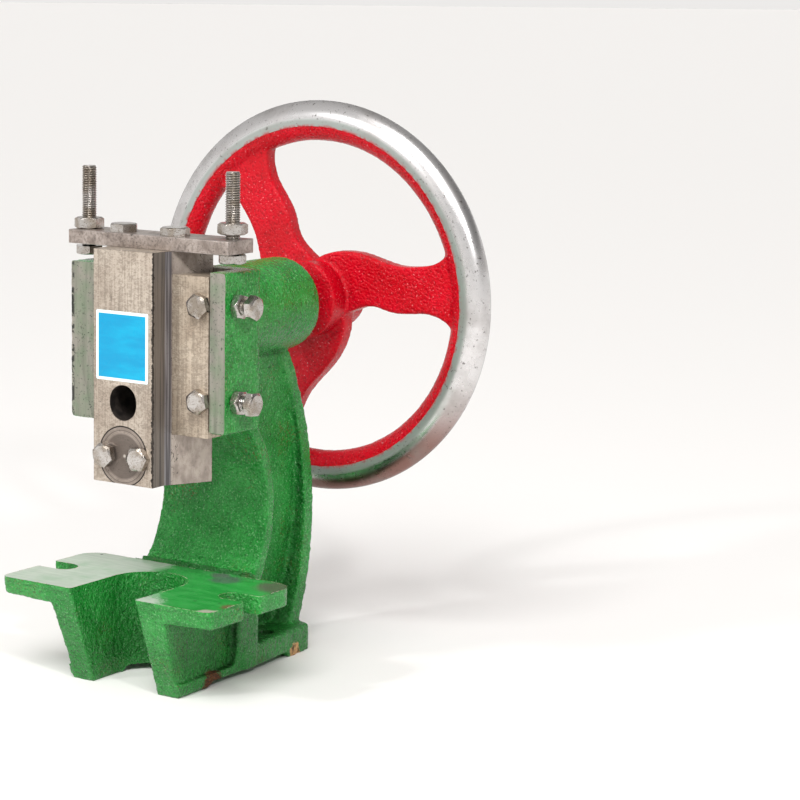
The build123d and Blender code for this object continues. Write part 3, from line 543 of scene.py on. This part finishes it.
def rim_polish():
    """Turned and polished iron rim: faint lathe lines, a duller inner band, painted reflections (a
    bright outer band, a greenish grey inner band, a dark outer edge, red-brown low down), specks
    of red paint.
    """
    s = Shader("rim_polish")
    radius = s.radius(AXIS_X, AXIS_Z)
    pores = s.noise(520, 3, 0.65)
    stain = s.noise(60, 4, 0.6)
    # Partly a duller turned finish, partly painted reflection: a bright outer band and a greenish
    # grey inner band.
    dull_and_reflection = s.between(radius, 105.0 * MM, 102.5 * MM)
    color = s.mix(dull_and_reflection, tone(222, 220, 220), tone(160, 166, 162))
    # Painted reflection: red-brown on the lower part of the rim.
    lower = s.between(s.xyz[2], AXIS_Z - 35 * MM, AXIS_Z - 85 * MM)
    red_reflection_below = s.both(lower, s.between(radius, 105.5 * MM, 108.5 * MM))
    color = s.over(color, red_reflection_below, tone(124, 66, 48), 0.85)
    # Painted reflection: dark grey where the rim is seen edge-on.
    grazing = s.node("ShaderNodeLayerWeight", Blend=0.5).outputs["Facing"]
    color = s.mix(s.between(grazing, 0.70, 0.90), color, tone(70, 70, 74))
    color = s.over(color, s.between(stain, 0.4, 0.75), tone(150, 144, 140), 0.5)
    color = s.over(color, s.between(pores, 0.62, 0.68), tone(84, 78, 74), 0.7)
    fringe = s.between(radius, 101.6 * MM, 98.8 * MM)
    splash = s.both(fringe, s.between(s.noise(260, 3, 0.7), 0.42, 0.55))
    color = s.mix(splash, color, tone(170, 10, 28))
    normal = s.bump(s.rings(radius, 5200), 0.006 * MM)
    metal = s.blend(dull_and_reflection, 1.0, 0.55)
    rough = s.blend(dull_and_reflection, s.blend(s.between(stain, 0.4, 0.7), 0.24, 0.34), 0.42)
    return s.finish(color, s.blend(splash, metal, 0.0), rough, normal)


def turned_steel(name, color_a, color_b, rough):
    """Lathe-turned metal in two tones, with fine lines round its axis."""
    s = Shader(name)
    rings = s.noise(1500, 2, 0.5, stretch=(0.03, 1.0, 0.03))
    stain = s.noise(120, 4, 0.6)
    color = s.mix(s.between(stain, 0.35, 0.7), color_a, color_b)
    return s.finish(color, 0.95, rough, s.bump(rings, 0.012 * MM))


def dark_oxide():
    """Black oxide on small screws."""
    s = Shader("black_fasteners")
    fine = s.noise(900, 3, 0.6)
    color = s.mix(s.between(fine, 0.4, 0.7), tone(34, 33, 34), tone(62, 58, 54))
    return s.finish(color, 0.6, 0.45, s.bump(fine, 0.03 * MM))


def label_blue():
    """A plain printed label: blue field and white border, faintly crinkled."""
    s = Shader("label_blue")
    left, right = low("label_plate", 0), high("label_plate", 0)
    bottom, top = low("label_plate", 2), high("label_plate", 2)
    inset = 1.5 * MM
    x, z = s.xyz[0], s.xyz[2]
    margin = s.calc("MINIMUM", s.calc("SUBTRACT", x, left), s.calc("SUBTRACT", right, x))
    rise = s.calc("MINIMUM", s.calc("SUBTRACT", z, bottom), s.calc("SUBTRACT", top, z))
    margin = s.calc("MINIMUM", margin, rise)
    crinkle = s.noise(140, 3, 0.6, warp=1.2)
    shine = s.noise(60, 3, 0.6, stretch=(0.5, 1.0, 2.0))
    blue = s.mix(s.between(shine, 0.35, 0.7), tone(0, 140, 184), tone(0, 158, 196))
    color = s.mix(s.between(margin, inset, inset + 0.15 * MM), tone(226, 240, 242), blue)
    normal = s.bump(crinkle, 0.25 * MM)
    return s.finish(color, 0.0, 0.3, normal, coat=0.1, coat_rough=0.15, specular=0.3)


PAINT = casting_paint()
TABLE = table_face()
HEAD = head_face()
WAYS = ways_metal()
RAM = ground_steel("ram_ground", tone(192, 180, 166), tone(158, 144, 130), True)
GIB = ground_steel("gib_ground", tone(196, 182, 164), tone(160, 144, 126))
CAP = cap_turned()
EDGE = bruised_edge()
BORE_SHADE = shaded_bore()
ZINC = zinc()
PLATE = plate_steel()
RED = wheel_red()
RIM = rim_polish()
SHAFT = turned_steel("shaft_steel", tone(176, 176, 178), tone(120, 112, 104), 0.3)
RACK = turned_steel("rack_steel", tone(110, 108, 106), tone(84, 80, 76), 0.42)
BRONZE = turned_steel("bush_bronze", tone(186, 146, 84), tone(140, 100, 54), 0.34)
BLACK = dark_oxide()
LABEL = label_blue()


# ---------------------------------------------------------------- mesh helpers
def linked(name, data):
    """A new object in the scene."""
    made = bpy.data.objects.new(name, data)
    bpy.context.scene.collection.objects.link(made)
    return made


def make_object(name, mesh, body, slot, *replaced):
    """A piece that rides on a body and stands for the CAD nodes it replaces."""
    made = linked(name, mesh)
    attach(made, body)
    if replaced:
        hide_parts(*replaced)
    return made


def baked(name, bm):
    """The mesh of a bmesh, which is freed."""
    mesh = bpy.data.meshes.new(name)
    bm.to_mesh(mesh)
    bm.free()
    return mesh


def welded(node):
    """A bmesh of a CAD node with its shared corners merged."""
    bm = bmesh.new()
    bm.from_mesh(nodes[node].data)
    bmesh.ops.remove_doubles(bm, verts=bm.verts, dist=WELD)
    return bm


def closed_mesh(name, points, faces):
    """A mesh from points and faces, with its faces turned outwards."""
    mesh = bpy.data.meshes.new(name)
    mesh.from_pydata(points, [], faces)
    bm = bmesh.new()
    bm.from_mesh(mesh)
    bmesh.ops.recalc_face_normals(bm, faces=bm.faces)
    bm.to_mesh(mesh)
    bm.free()
    return mesh


def from_grid(name, rows, close_v=False, cap_ends=False):
    """A mesh from closed rows of points; u runs along a row, v from row to row."""
    count = len(rows[0])
    points = [tuple(p) for row in rows for p in row]
    faces = []
    for v in range(len(rows) if close_v else len(rows) - 1):
        after = (v + 1) % len(rows) * count
        for u in range(count):
            beside = (u + 1) % count
            faces.append((v * count + u, v * count + beside, after + beside, after + u))
    if cap_ends:
        for row in (0, len(rows) - 1):
            points.append(tuple(sum((Vector(p) for p in rows[row]), Vector()) / count))
            hub = len(points) - 1
            for u in range(count):
                a = row * count + u
                b = row * count + (u + 1) % count
                faces.append((b, a, hub) if row == 0 else (a, b, hub))
    return closed_mesh(name, points, faces)


def join_meshes(name, meshes):
    """One mesh out of several."""
    bm = bmesh.new()
    for mesh in meshes:
        bm.from_mesh(mesh)
    return baked(name, bm)


def smooth(mesh, angle):
    """Smooth shading, with edges sharper than an angle in degrees kept sharp."""
    mesh.polygons.foreach_set("use_smooth", [True] * len(mesh.polygons))
    mesh.set_sharp_from_angle(angle=math.radians(angle))


def set_materials(mesh, materials, index_of):
    """Gives a mesh its materials, and each face the one that a function of the face picks."""
    mesh.materials.clear()
    for material in materials:
        mesh.materials.append(material)
    mesh.polygons.foreach_set("material_index", [index_of(face) for face in mesh.polygons])


def bevelled(name, width):
    """A copy of a CAD node's mesh with its flats merged and its edges rounded."""
    bm = welded(name)
    flat = math.radians(FLAT_ANGLE)
    bmesh.ops.dissolve_limit(bm, angle_limit=flat, verts=bm.verts, edges=bm.edges)
    sharp = [
        edge for edge in bm.edges
        if len(edge.link_faces) == 2 and edge.calc_face_angle(0) > math.radians(SHARP_ANGLE)
    ]
    bmesh.ops.bevel(
        bm, geom=sharp, offset=width * MM, segments=3, profile=0.5,
        affect="EDGES", clamp_overlap=True,
    )
    mesh = baked(name + "_bevelled", bm)
    if mesh.attributes.get("custom_normal"):
        mesh.attributes.remove(mesh.attributes["custom_normal"])
    smooth(mesh, 40)
    return mesh


def apply_modifiers(obj):
    """Bakes an object's modifiers into its mesh."""
    bpy.context.view_layer.update()
    graph = bpy.context.evaluated_depsgraph_get()
    result = bpy.data.meshes.new_from_object(obj.evaluated_get(graph))
    obj.modifiers.clear()
    obj.data = result


def block(x_range, y_range, z_range):
    """A box mesh, from millimetres about the tool axis."""
    lowest = at(x_range[0], y_range[0], z_range[0])
    highest = at(x_range[1], y_range[1], z_range[1])
    place = Matrix.Translation((lowest + highest) / 2)
    stretch = Matrix.Diagonal((*(highest - lowest), 1.0))
    bm = bmesh.new()
    bmesh.ops.create_cube(bm, size=1.0)
    bmesh.ops.transform(bm, matrix=place @ stretch, verts=bm.verts)
    return baked("block", bm)


def prism(outline, z_range):
    """A straight prism over an outline of (x, y) points, from millimetres about the tool axis."""
    count = len(outline)
    points = [tuple(at(x, y, z)) for z in z_range for x, y in outline]
    faces = [(k, (k + 1) % count, count + (k + 1) % count, count + k) for k in range(count)]
    faces += [tuple(reversed(range(count))), tuple(range(count, 2 * count))]
    return closed_mesh("prism", points, faces)


def across(axis):
    """Two directions square to an axis and to each other."""
    side = Vector((0, 0, 1)) if abs(axis.z) < 0.5 else Vector((1, 0, 0))
    side = (side - side.dot(axis) * axis).normalized()
    return side, axis.cross(side)


def rod(radius, start, end, samples=64):
    """A cylinder mesh between two points given in metres; radius in millimetres."""
    side, other = across((end - start).normalized())
    spokes = [(side * math.cos(a) + other * math.sin(a)) * radius * MM for a in turns(samples)]
    rows = [[point + spoke for spoke in spokes] for point in (start, end)]
    return from_grid("rod", rows, cap_ends=True)


def turns(samples):
    """Evenly spaced angles round a circle."""
    return [math.tau * k / samples for k in range(samples)]


def on_shaft(y):
    """A point on the drive shaft's axis, in millimetres behind the tool axis."""
    return Vector((AXIS_X, at(0, y, 0).y, AXIS_Z))


# ---------------------------------------------------------------- casting
def flank_x(y):
    """Half width of the dovetail ways at a depth."""
    return RAM_HALF + FLANK_SLOPE * (y - FLANK_FRONT) + FLANK_GAP


def is_table(normal, centre):
    """True for a face of the table's milled top."""
    return normal.z > 0.999 and abs(centre.z - TABLE_Z * MM) < 2e-5


def stocked_casting():
    """The casting's solid with stock over its ways, bore and table, which are cut afterwards."""
    return join_meshes("stocked_casting", [
        baked("solid", welded("body_casting")),
        block((-46.7, 56.7), (-8.5, 20), (145, HEAD_TOP)),
        rod(20, on_shaft(16), on_shaft(121)),
        table_slab(),
    ])


def table_slab():
    """A closed slab over the table's outline, from 2 mm under its face to 3 mm over it."""
    bm = welded("body_casting")
    keep = {f for f in bm.faces if is_table(f.normal, f.calc_center_median())}
    bmesh.ops.delete(bm, geom=[f for f in bm.faces if f not in keep], context="FACES")
    bmesh.ops.translate(bm, verts=bm.verts, vec=(0, 0, -2.0 * MM))
    grown = bmesh.ops.extrude_face_region(bm, geom=bm.faces[:])
    top = [g for g in grown["geom"] if isinstance(g, bmesh.types.BMVert)]
    bmesh.ops.translate(bm, verts=top, vec=(0, 0, 5.0 * MM))
    bmesh.ops.recalc_face_normals(bm, faces=bm.faces)
    return baked("table_slab", bm)


def roughen(obj, name, size, strength, depth):
    """Pushes a surface in and out by a noise; size and strength in millimetres."""
    texture = bpy.data.textures.new(name, "CLOUDS")
    texture.noise_scale = size * MM
    texture.noise_depth = depth
    pushed = obj.modifiers.new(name, "DISPLACE")
    pushed.texture = texture
    pushed.texture_coords = "LOCAL"
    pushed.strength = strength * MM
    pushed.mid_level = 0.5


def soften(obj, voxel, repeat):
    """Remeshes a solid evenly and rounds its corners as a sand casting's are."""
    remesh = obj.modifiers.new("remesh", "REMESH")
    remesh.mode = "VOXEL"
    remesh.voxel_size = voxel * MM
    remesh.use_smooth_shade = True
    soft = obj.modifiers.new("soft", "SMOOTH")
    soft.factor = 0.5
    soft.iterations = repeat


def cut(obj, cutters):
    """Machines the casting: takes each closed cutter mesh away from it."""
    tools = [linked(f"cutter_{index}", mesh) for index, mesh in enumerate(cutters)]
    for tool in tools:
        trim = obj.modifiers.new(tool.name, "BOOLEAN")
        trim.operation = "DIFFERENCE"
        trim.solver = "MANIFOLD"
        trim.object = tool
    apply_modifiers(obj)
    for tool in tools:
        bpy.data.objects.remove(tool)


def casting_cutters():
    """What the mill, the borer and the drill take off: table, head, ways, feet, bore and holes."""
    ways_front = -10.0
    ways = [
        (-flank_x(ways_front), ways_front), (EAR_INNER, ways_front),
        (EAR_INNER, WAYS_FLOOR), (-flank_x(WAYS_FLOOR), WAYS_FLOOR),
    ]
    holes = [rod(5, at(x, 79, -5), at(x, 79, 25)) for x in (-24, 24)]
    return [
        block((-80, 80), (-50, 41.2), (TABLE_Z, 66)),
        block((-60, 70), (-30, HEAD_FRONT), (140, 235)),
        block((-60, 70), (-30, 26), (HEAD_TOP - 0.05, 240)),
        prism(ways, (140, 240)),
        block((-60, 70), (-40, 130), (-10, 0)),
        rod(13.9, on_shaft(10), on_shaft(130)),
        *holes,
    ]


def casting_surface(face):
    """0 for paint, 1 for the table's face, 2 for the head's front, 3 for the ways."""
    centre, normal = face.center, face.normal
    head_y = at(0, HEAD_FRONT, 0).y
    floor_y = at(0, WAYS_FLOOR, 0).y
    in_ways = at(-34, 0, 0).x < centre.x < at(47, 0, 0).x and centre.z > 130 * MM
    if is_table(normal, centre):
        return 1
    if normal.y < -0.999 and abs(centre.y - head_y) < 2e-5:
        return 2
    if normal.y < -0.999 and abs(centre.y - floor_y) < 2e-5:
        return 3
    if head_y < centre.y < floor_y and in_ways and abs(normal.z) < 0.01:
        return 3
    return 0


def make_casting():
    """The green casting: rough all over, then machined."""
    name = "body_casting_look"
    obj = make_object(name, stocked_casting(), "frame", "casting_paint", "body_casting")
    soften(obj, 0.85, 6)
    roughen(obj, "waves", 24.0, 0.35, 2)
    roughen(obj, "pebbles", 2.4, 0.55, 1)
    cut(obj, casting_cutters())
    set_materials(obj.data, (PAINT, TABLE, HEAD, WAYS), casting_surface)
    smooth(obj.data, 40)


make_casting()


# ---------------------------------------------------------------- handwheel
def sink_under_rim(mesh):
    """Draws the painted casting in where the turned rim covers it."""
    start, depth = 100.2, 1.3
    for vertex in mesh.vertices:
        spot = vertex.co
        out = Vector((spot.x - AXIS_X, 0, spot.z - AXIS_Z))
        reach = out.length / MM
        if reach > start:
            core = on_shaft(RIM_Y) + out.normalized() * RIM_R * MM
            pull = (core - spot).normalized() * depth * min(1.0, reach - start) * MM
            vertex.co = spot + pull


def make_wheel():
    """The red wheel, one rough casting with hub and spokes."""
    mesh = baked("handwheel_red", welded("handwheel"))
    obj = make_object("handwheel_red", mesh, "drive", "wheel_paint", "handwheel")
    soften(obj, 1.0, 9)
    roughen(obj, "wheel_waves", 14.0, 0.3, 2)
    roughen(obj, "wheel_pebbles", 2.6, 0.25, 1)
    apply_modifiers(obj)
    set_materials(obj.data, (RED,), lambda face: 0)
    smooth(obj.data, 60)
    sink_under_rim(obj.data)


def make_rim():
    """The turned rim: an oval section, open towards the spokes, swept round the shaft."""
    open_turn = math.acos((RIM_INNER - RIM_R) / RIM_HALF_R)
    steps = 40
    section = []
    for k in range(steps + 1):
        a = -open_turn + 2 * open_turn * k / steps
        r = RIM_R + (RIM_HALF_R + 0.1) * math.cos(a)
        section.append((r * MM, at(0, RIM_Y + (RIM_HALF_Y + 0.2) * math.sin(a), 0).y))
    rows = [
        [(AXIS_X + r * math.cos(a), y, AXIS_Z + r * math.sin(a)) for r, y in section]
        for a in turns(288)
    ]
    rim = from_grid("handwheel_rim", rows, close_v=True)
    smooth(rim, 50)
    rim.materials.append(RIM)
    make_object("handwheel_rim", rim, "drive", "wheel_paint")


make_wheel()
make_rim()


# ---------------------------------------------------------------- fasteners
def hex_mesh(flats, height, nut=False):
    """A hex head or nut on z = 0: flat ends, conical chamfers and six flats, in millimetres."""
    angles = turns(72)
    reach = [flats / 2 / math.cos((a % (math.pi / 3)) - math.pi / 6) for a in angles]
    start = flats / 2 * (0.84 if flats < 13 else 0.94)
    fall = [max(0.0, r - start) * math.tan(math.radians(30)) for r in reach]
    rows = []

    def ring(radii, heights):
        rows.append([
            (r * math.cos(a), r * math.sin(a), z) for r, a, z in zip(radii, angles, heights)
        ])

    level = [0.0] * len(angles)
    face = [start] * len(angles)
    if nut:
        ring(face, level)
        ring([r - 0.05 for r in reach], [f - 0.02 for f in fall])
        ring(reach, [f + 0.06 for f in fall])
    else:
        ring([r - 0.08 for r in reach], level)
        ring(reach, [0.08] * len(angles))
    ring(reach, [height - f - 0.06 for f in fall])
    ring([r - 0.05 for r in reach], [height - f + 0.02 for f in fall])
    ring(face, [height] * len(angles))
    ring([start - 0.25] * len(angles), [height] * len(angles))
    return from_grid("hexagon", rows, cap_ends=True)


def thread_mesh(length, samples=40, per_pitch=8, tip=0.8):
    """A helical thread running down from z = 0, tapered at its tip, in millimetres."""
    rows = []
    count = int(length / M8_PITCH * per_pitch)
    for j in range(count + 1):
        z = -length * j / count
        to_tip = (length + z) / tip
        row = []
        for k, a in enumerate(turns(samples)):
            phase = (z / M8_PITCH - k / samples) % 1.0
            crest = 1 - abs(2 * phase - 1)
            r = M8_R - M8_DEPTH * (1 - min(1.0, crest * 1.25))
            if to_tip < 1.0:
                r = min(r, M8_R - M8_DEPTH * (1 - to_tip) - 0.1)
            row.append((r * math.cos(a), r * math.sin(a), z))
        rows.append(row)
    return from_grid("thread", rows, cap_ends=True)


def shank_mesh(length):
    """A plain shank running down from z = 0, in millimetres."""
    ring = [(M8_R * math.cos(a), M8_R * math.sin(a)) for a in turns(40)]
    rows = [[(x, y, z) for x, y in ring] for z in (0.0, -length)]
    return from_grid("shank", rows, cap_ends=True)


def frame_for(point, axis, turn):
    """Matrix that stands a fastener at a point with its head along an axis, from millimetres."""
    up = Vector(axis)
    side, other = across(up)
    turned = Matrix((side, other, up)).transposed().to_4x4()
    scale = Matrix.Diagonal((MM, MM, MM, 1.0))
    return Matrix.Translation(point) @ turned @ Matrix.Rotation(math.radians(turn), 4, "Z") @ scale


def fasteners(node, body, axis, places, build):
    """One piece for a group of like screws or nuts."""
    meshes = []
    for point, turn in places:
        for part in build():
            part.transform(frame_for(point, axis, turn))
            meshes.append(part)
    mesh = join_meshes(node + "_look", meshes)
    mesh.materials.append(ZINC)
    smooth(mesh, 28)
    make_object(node + "_look", mesh, body, "zinc_fasteners", node)


FORWARD, BACKWARD, RIGHT, UP, DOWN = (0, -1, 0), (0, 1, 0), (1, 0, 0), (0, 0, 1), (0, 0, -1)
LEFT_STOP, RIGHT_STOP = CENTRE - STOP_X, CENTRE + STOP_X
SCREW_X = EAR_OUTER + 9.2     # lock nut and bare thread lie between the ear and the head

# Node, body, direction of the heads, places with their turns in degrees, and what is made there.
for group in (
    (
        "clamp_bolts", "slide", FORWARD,
        [(at(-CLAMP_X, RAM_FRONT, CLAMP_Z), 12), (at(CLAMP_X, RAM_FRONT, CLAMP_Z), 34)],
        lambda: [hex_mesh(SMALL_FLATS, HEAD_HEIGHT), shank_mesh(25)],
    ),
    (
        "gib_bolts", "frame", FORWARD,
        [(at(GIB_BOLT_X, HEAD_FRONT, GIB_Z[0]), 8), (at(GIB_BOLT_X, HEAD_FRONT, GIB_Z[1]), 14)],
        lambda: [hex_mesh(SMALL_FLATS, HEAD_HEIGHT), shank_mesh(25)],
    ),
    (
        "gib_adjusting_screws", "frame", RIGHT,
        [(at(SCREW_X, GIB_SCREW_Y, GIB_Z[0]), 26), (at(SCREW_X, GIB_SCREW_Y, GIB_Z[1]), 6)],
        lambda: [hex_mesh(SMALL_FLATS, HEAD_HEIGHT), thread_mesh(19.9)],
    ),
    (
        "gib_lock_nuts", "frame", RIGHT,
        [(at(EAR_OUTER, GIB_SCREW_Y, GIB_Z[0]), 22), (at(EAR_OUTER, GIB_SCREW_Y, GIB_Z[1]), 17)],
        lambda: [hex_mesh(SMALL_FLATS, 5.0, nut=True)],
    ),
    (
        "stop_plate_bolts", "slide", UP,
        [(at(-PLATE_BOLT_X, 2.5, PLATE_TOP), 5), (at(PLATE_BOLT_X, 2.5, PLATE_TOP), -16)],
        lambda: [hex_mesh(LARGE_FLATS, HEAD_HEIGHT), shank_mesh(18)],
    ),
    (
        "depth_stop_bolts", "slide", DOWN,
        [(at(LEFT_STOP, STOP_Y, 236.7), 50), (at(RIGHT_STOP, STOP_Y, 237.9), 50)],
        lambda: [hex_mesh(LARGE_FLATS, HEAD_HEIGHT), thread_mesh(43.5)],
    ),
    (
        "stop_lock_nuts", "slide", UP,
        [(at(LEFT_STOP, STOP_Y, PLATE_TOP), 35), (at(RIGHT_STOP, STOP_Y, 248.6), 38)],
        lambda: [hex_mesh(LARGE_FLATS, 6.2, nut=True)],
    ),
    (
        "wheel_nut", "drive", BACKWARD, [(on_shaft(180.8), 10)],
        lambda: [hex_mesh(19.0, 10.0, nut=True)],
    ),
):
    fasteners(*group)


# ---------------------------------------------------------------- ram and plates
def slanted(face):
    """True for the narrow faces of a bevel, which look along no axis of the block."""
    return max(abs(c) for c in face.normal) < 0.985 and face.area < 6e-5


def ram_surface(face):
    """0 for ground faces, 1 for the bruised front right corner, 2 for the wall of the window."""
    spot = face.center
    corner = at(RAM_HALF, RAM_FRONT, 0)
    window = at(0, RAM_FRONT + 0.6, WINDOW_Z)
    inside = abs(spot.x - window.x) < 9.5 * MM and abs(spot.z - window.z) < 10.2 * MM
    if inside and spot.y > window.y:
        return 2
    at_corner = abs(spot.x - corner.x) < 1.0 * MM and spot.y < corner.y + 1.0 * MM
    return 1 if slanted(face) and at_corner else 0


ram = bevelled("ram", 0.45)
set_materials(ram, (RAM, EDGE, BORE_SHADE), ram_surface)
make_object("ram_look", ram, "slide", "ground_steel", "ram")

for node, body, width, material, slot in (
    ("gib", "frame", 0.3, GIB, "gib_steel"),
    ("stop_plate", "slide", 0.5, PLATE, "stop_plate_steel"),
    ("tool_clamp_cap", "slide", 0.35, CAP, "ground_steel"),
    ("thrust_collar", "drive", 0.3, SHAFT, "shaft_steel"),
    ("wheel_washer", "drive", 0.3, ZINC, "zinc_fasteners"),
):
    mesh = bevelled(node, width)
    set_materials(mesh, (material,), lambda face: 0)
    make_object(node + "_look", mesh, body, slot, node)


def make_label():
    """The label as a thin sheet with rounded corners and a softened front edge."""
    left, right = low("label_plate", 0), high("label_plate", 0)
    bottom, top = low("label_plate", 2), high("label_plate", 2)
    front, back = low("label_plate", 1), high("label_plate", 1)
    radius, soft = 0.8 * MM, 0.1 * MM
    outline = []
    for x, z, start in (
        (right - radius, top - radius, 0), (left + radius, top - radius, 90),
        (left + radius, bottom + radius, 180), (right - radius, bottom + radius, 270),
    ):
        for step in range(0, 91, 15):
            a = math.radians(start + step)
            outline.append((x + radius * math.cos(a), z + radius * math.sin(a)))
    middle_x, middle_z = (left + right) / 2, (bottom + top) / 2
    face = [
        (x - math.copysign(soft, x - middle_x), front, z - math.copysign(soft, z - middle_z))
        for x, z in outline
    ]
    rows = [[(x, y, z) for x, z in outline] for y in (back, front + 0.08 * MM)]
    mesh = from_grid("label_plate_look", [*rows, face], cap_ends=True)
    smooth(mesh, 30)
    mesh.materials.append(LABEL)
    make_object("label_plate_look", mesh, "slide", "label_blue", "label_plate")


make_label()

# The CAD nodes that stay in view keep their shape and get a finish.
for name, material in (
    ("front_bush", BRONZE), ("rear_bush", BRONZE), ("pinion_shaft", SHAFT), ("wheel_key", SHAFT),
    ("ram_rack", RACK), ("rack_screws", BLACK), ("collar_set_screw", BLACK),
):
    node = nodes[name]
    if not node.material_slots:
        node.data.materials.append(material)
    for slot in node.material_slots:
        slot.material = material


# ---------------------------------------------------------------- stage
def sparkle(name, location):
    """A small lamp whose reflection lights up the pebbles of the paint."""
    data = bpy.data.lights.new(name, "AREA")
    data.size = 0.10
    data.energy = 5.5
    lamp = linked(name, data)
    lamp.location = location
    aim = Vector((0, 0, 0.15)) - Vector(location)
    lamp.rotation_euler = aim.to_track_quat("-Z", "Y").to_euler()


def ramp(tree, value, start, end, to_start=0.0, to_end=1.0, kind="LINEAR"):
    """A map range node's output in a world's tree."""
    made = tree.nodes.new("ShaderNodeMapRange")
    made.interpolation_type = kind
    made.inputs["From Min"].default_value = start
    made.inputs["From Max"].default_value = end
    made.inputs["To Min"].default_value = to_start
    made.inputs["To Max"].default_value = to_end
    tree.links.new(value, made.inputs["Value"])
    return made.outputs["Result"]


def make_world():
    """Studio surround: the floor's tone at the horizon, a bright upper left, a dim upper right."""
    world = bpy.data.worlds.new("studio")
    world.use_nodes = True
    tree = world.node_tree
    direction = tree.nodes.new("ShaderNodeTexCoord").outputs["Generated"]
    split = tree.nodes.new("ShaderNodeSeparateXYZ")
    tree.links.new(direction, split.inputs[0])
    side = tree.nodes.new("ShaderNodeVectorMath")
    side.operation = "DOT_PRODUCT"
    side.inputs[1].default_value = (-0.78, -0.55, 0.3)
    tree.links.new(direction, side.inputs[0])
    level = tree.nodes.new("ShaderNodeMix")
    level.data_type = "FLOAT"
    level.inputs[2].default_value = 0.86
    rise = ramp(tree, split.outputs[2], 0.06, 0.42, kind="SMOOTHSTEP")
    tree.links.new(rise, level.inputs[0])
    tree.links.new(ramp(tree, side.outputs["Value"], -0.7, 0.9, 0.22, 0.62), level.inputs[3])
    surround = tree.nodes["Background"]
    surround.inputs[0].default_value = tone(253, 251, 249)
    tree.links.new(level.outputs[0], surround.inputs[1])
    bpy.context.scene.world = world


def make_stage():
    """A wide pale floor, a soft sun from the front left and two small lamps."""
    reach = 40.0
    ring = [(reach * math.cos(a), reach * math.sin(a), 0) for a in turns(64)]
    mesh = bpy.data.meshes.new("floor")
    mesh.from_pydata(ring, [], [tuple(range(len(ring)))])
    mesh.materials.append(Shader("floor_pale").finish(tone(240, 238, 236), 0.0, 0.7, specular=0.1))
    linked("floor", mesh)
    make_world()
    sun = bpy.data.lights.new("key", "SUN")
    sun.energy = 2.5
    sun.angle = math.radians(34)
    lamp = linked("key", sun)
    lamp.rotation_euler = Vector((-0.35, 1.0, -1.25)).to_track_quat("-Z", "Y").to_euler()
    sparkle("sparkle_left", (-0.5, -1.2, 0.9))
    sparkle("sparkle_right", (1.0, -0.7, 0.9))


def make_camera():
    """A long lens from the front right, a little above the table."""
    azimuth, elevation, roll = 35.43, 8.78, 0.50
    data = bpy.data.cameras.new("camera")
    data.lens = 116.02
    data.sensor_width = 36.0
    data.shift_x = 0.1841
    data.shift_y = -0.0269
    data.clip_start = 0.01
    camera = linked("camera", data)
    turn = Matrix.Rotation(math.radians(azimuth), 4, "Z")
    tilt = Matrix.Rotation(math.radians(90 - elevation), 4, "X")
    spin = Matrix.Rotation(math.radians(roll), 4, "Z")
    camera.matrix_world = Matrix.Translation((0.8371, -1.1636, 0.3802)) @ turn @ tilt @ spin
    bpy.context.scene.camera = camera


make_stage()
make_camera()
bpy.context.scene.view_settings.view_transform = "Standard"
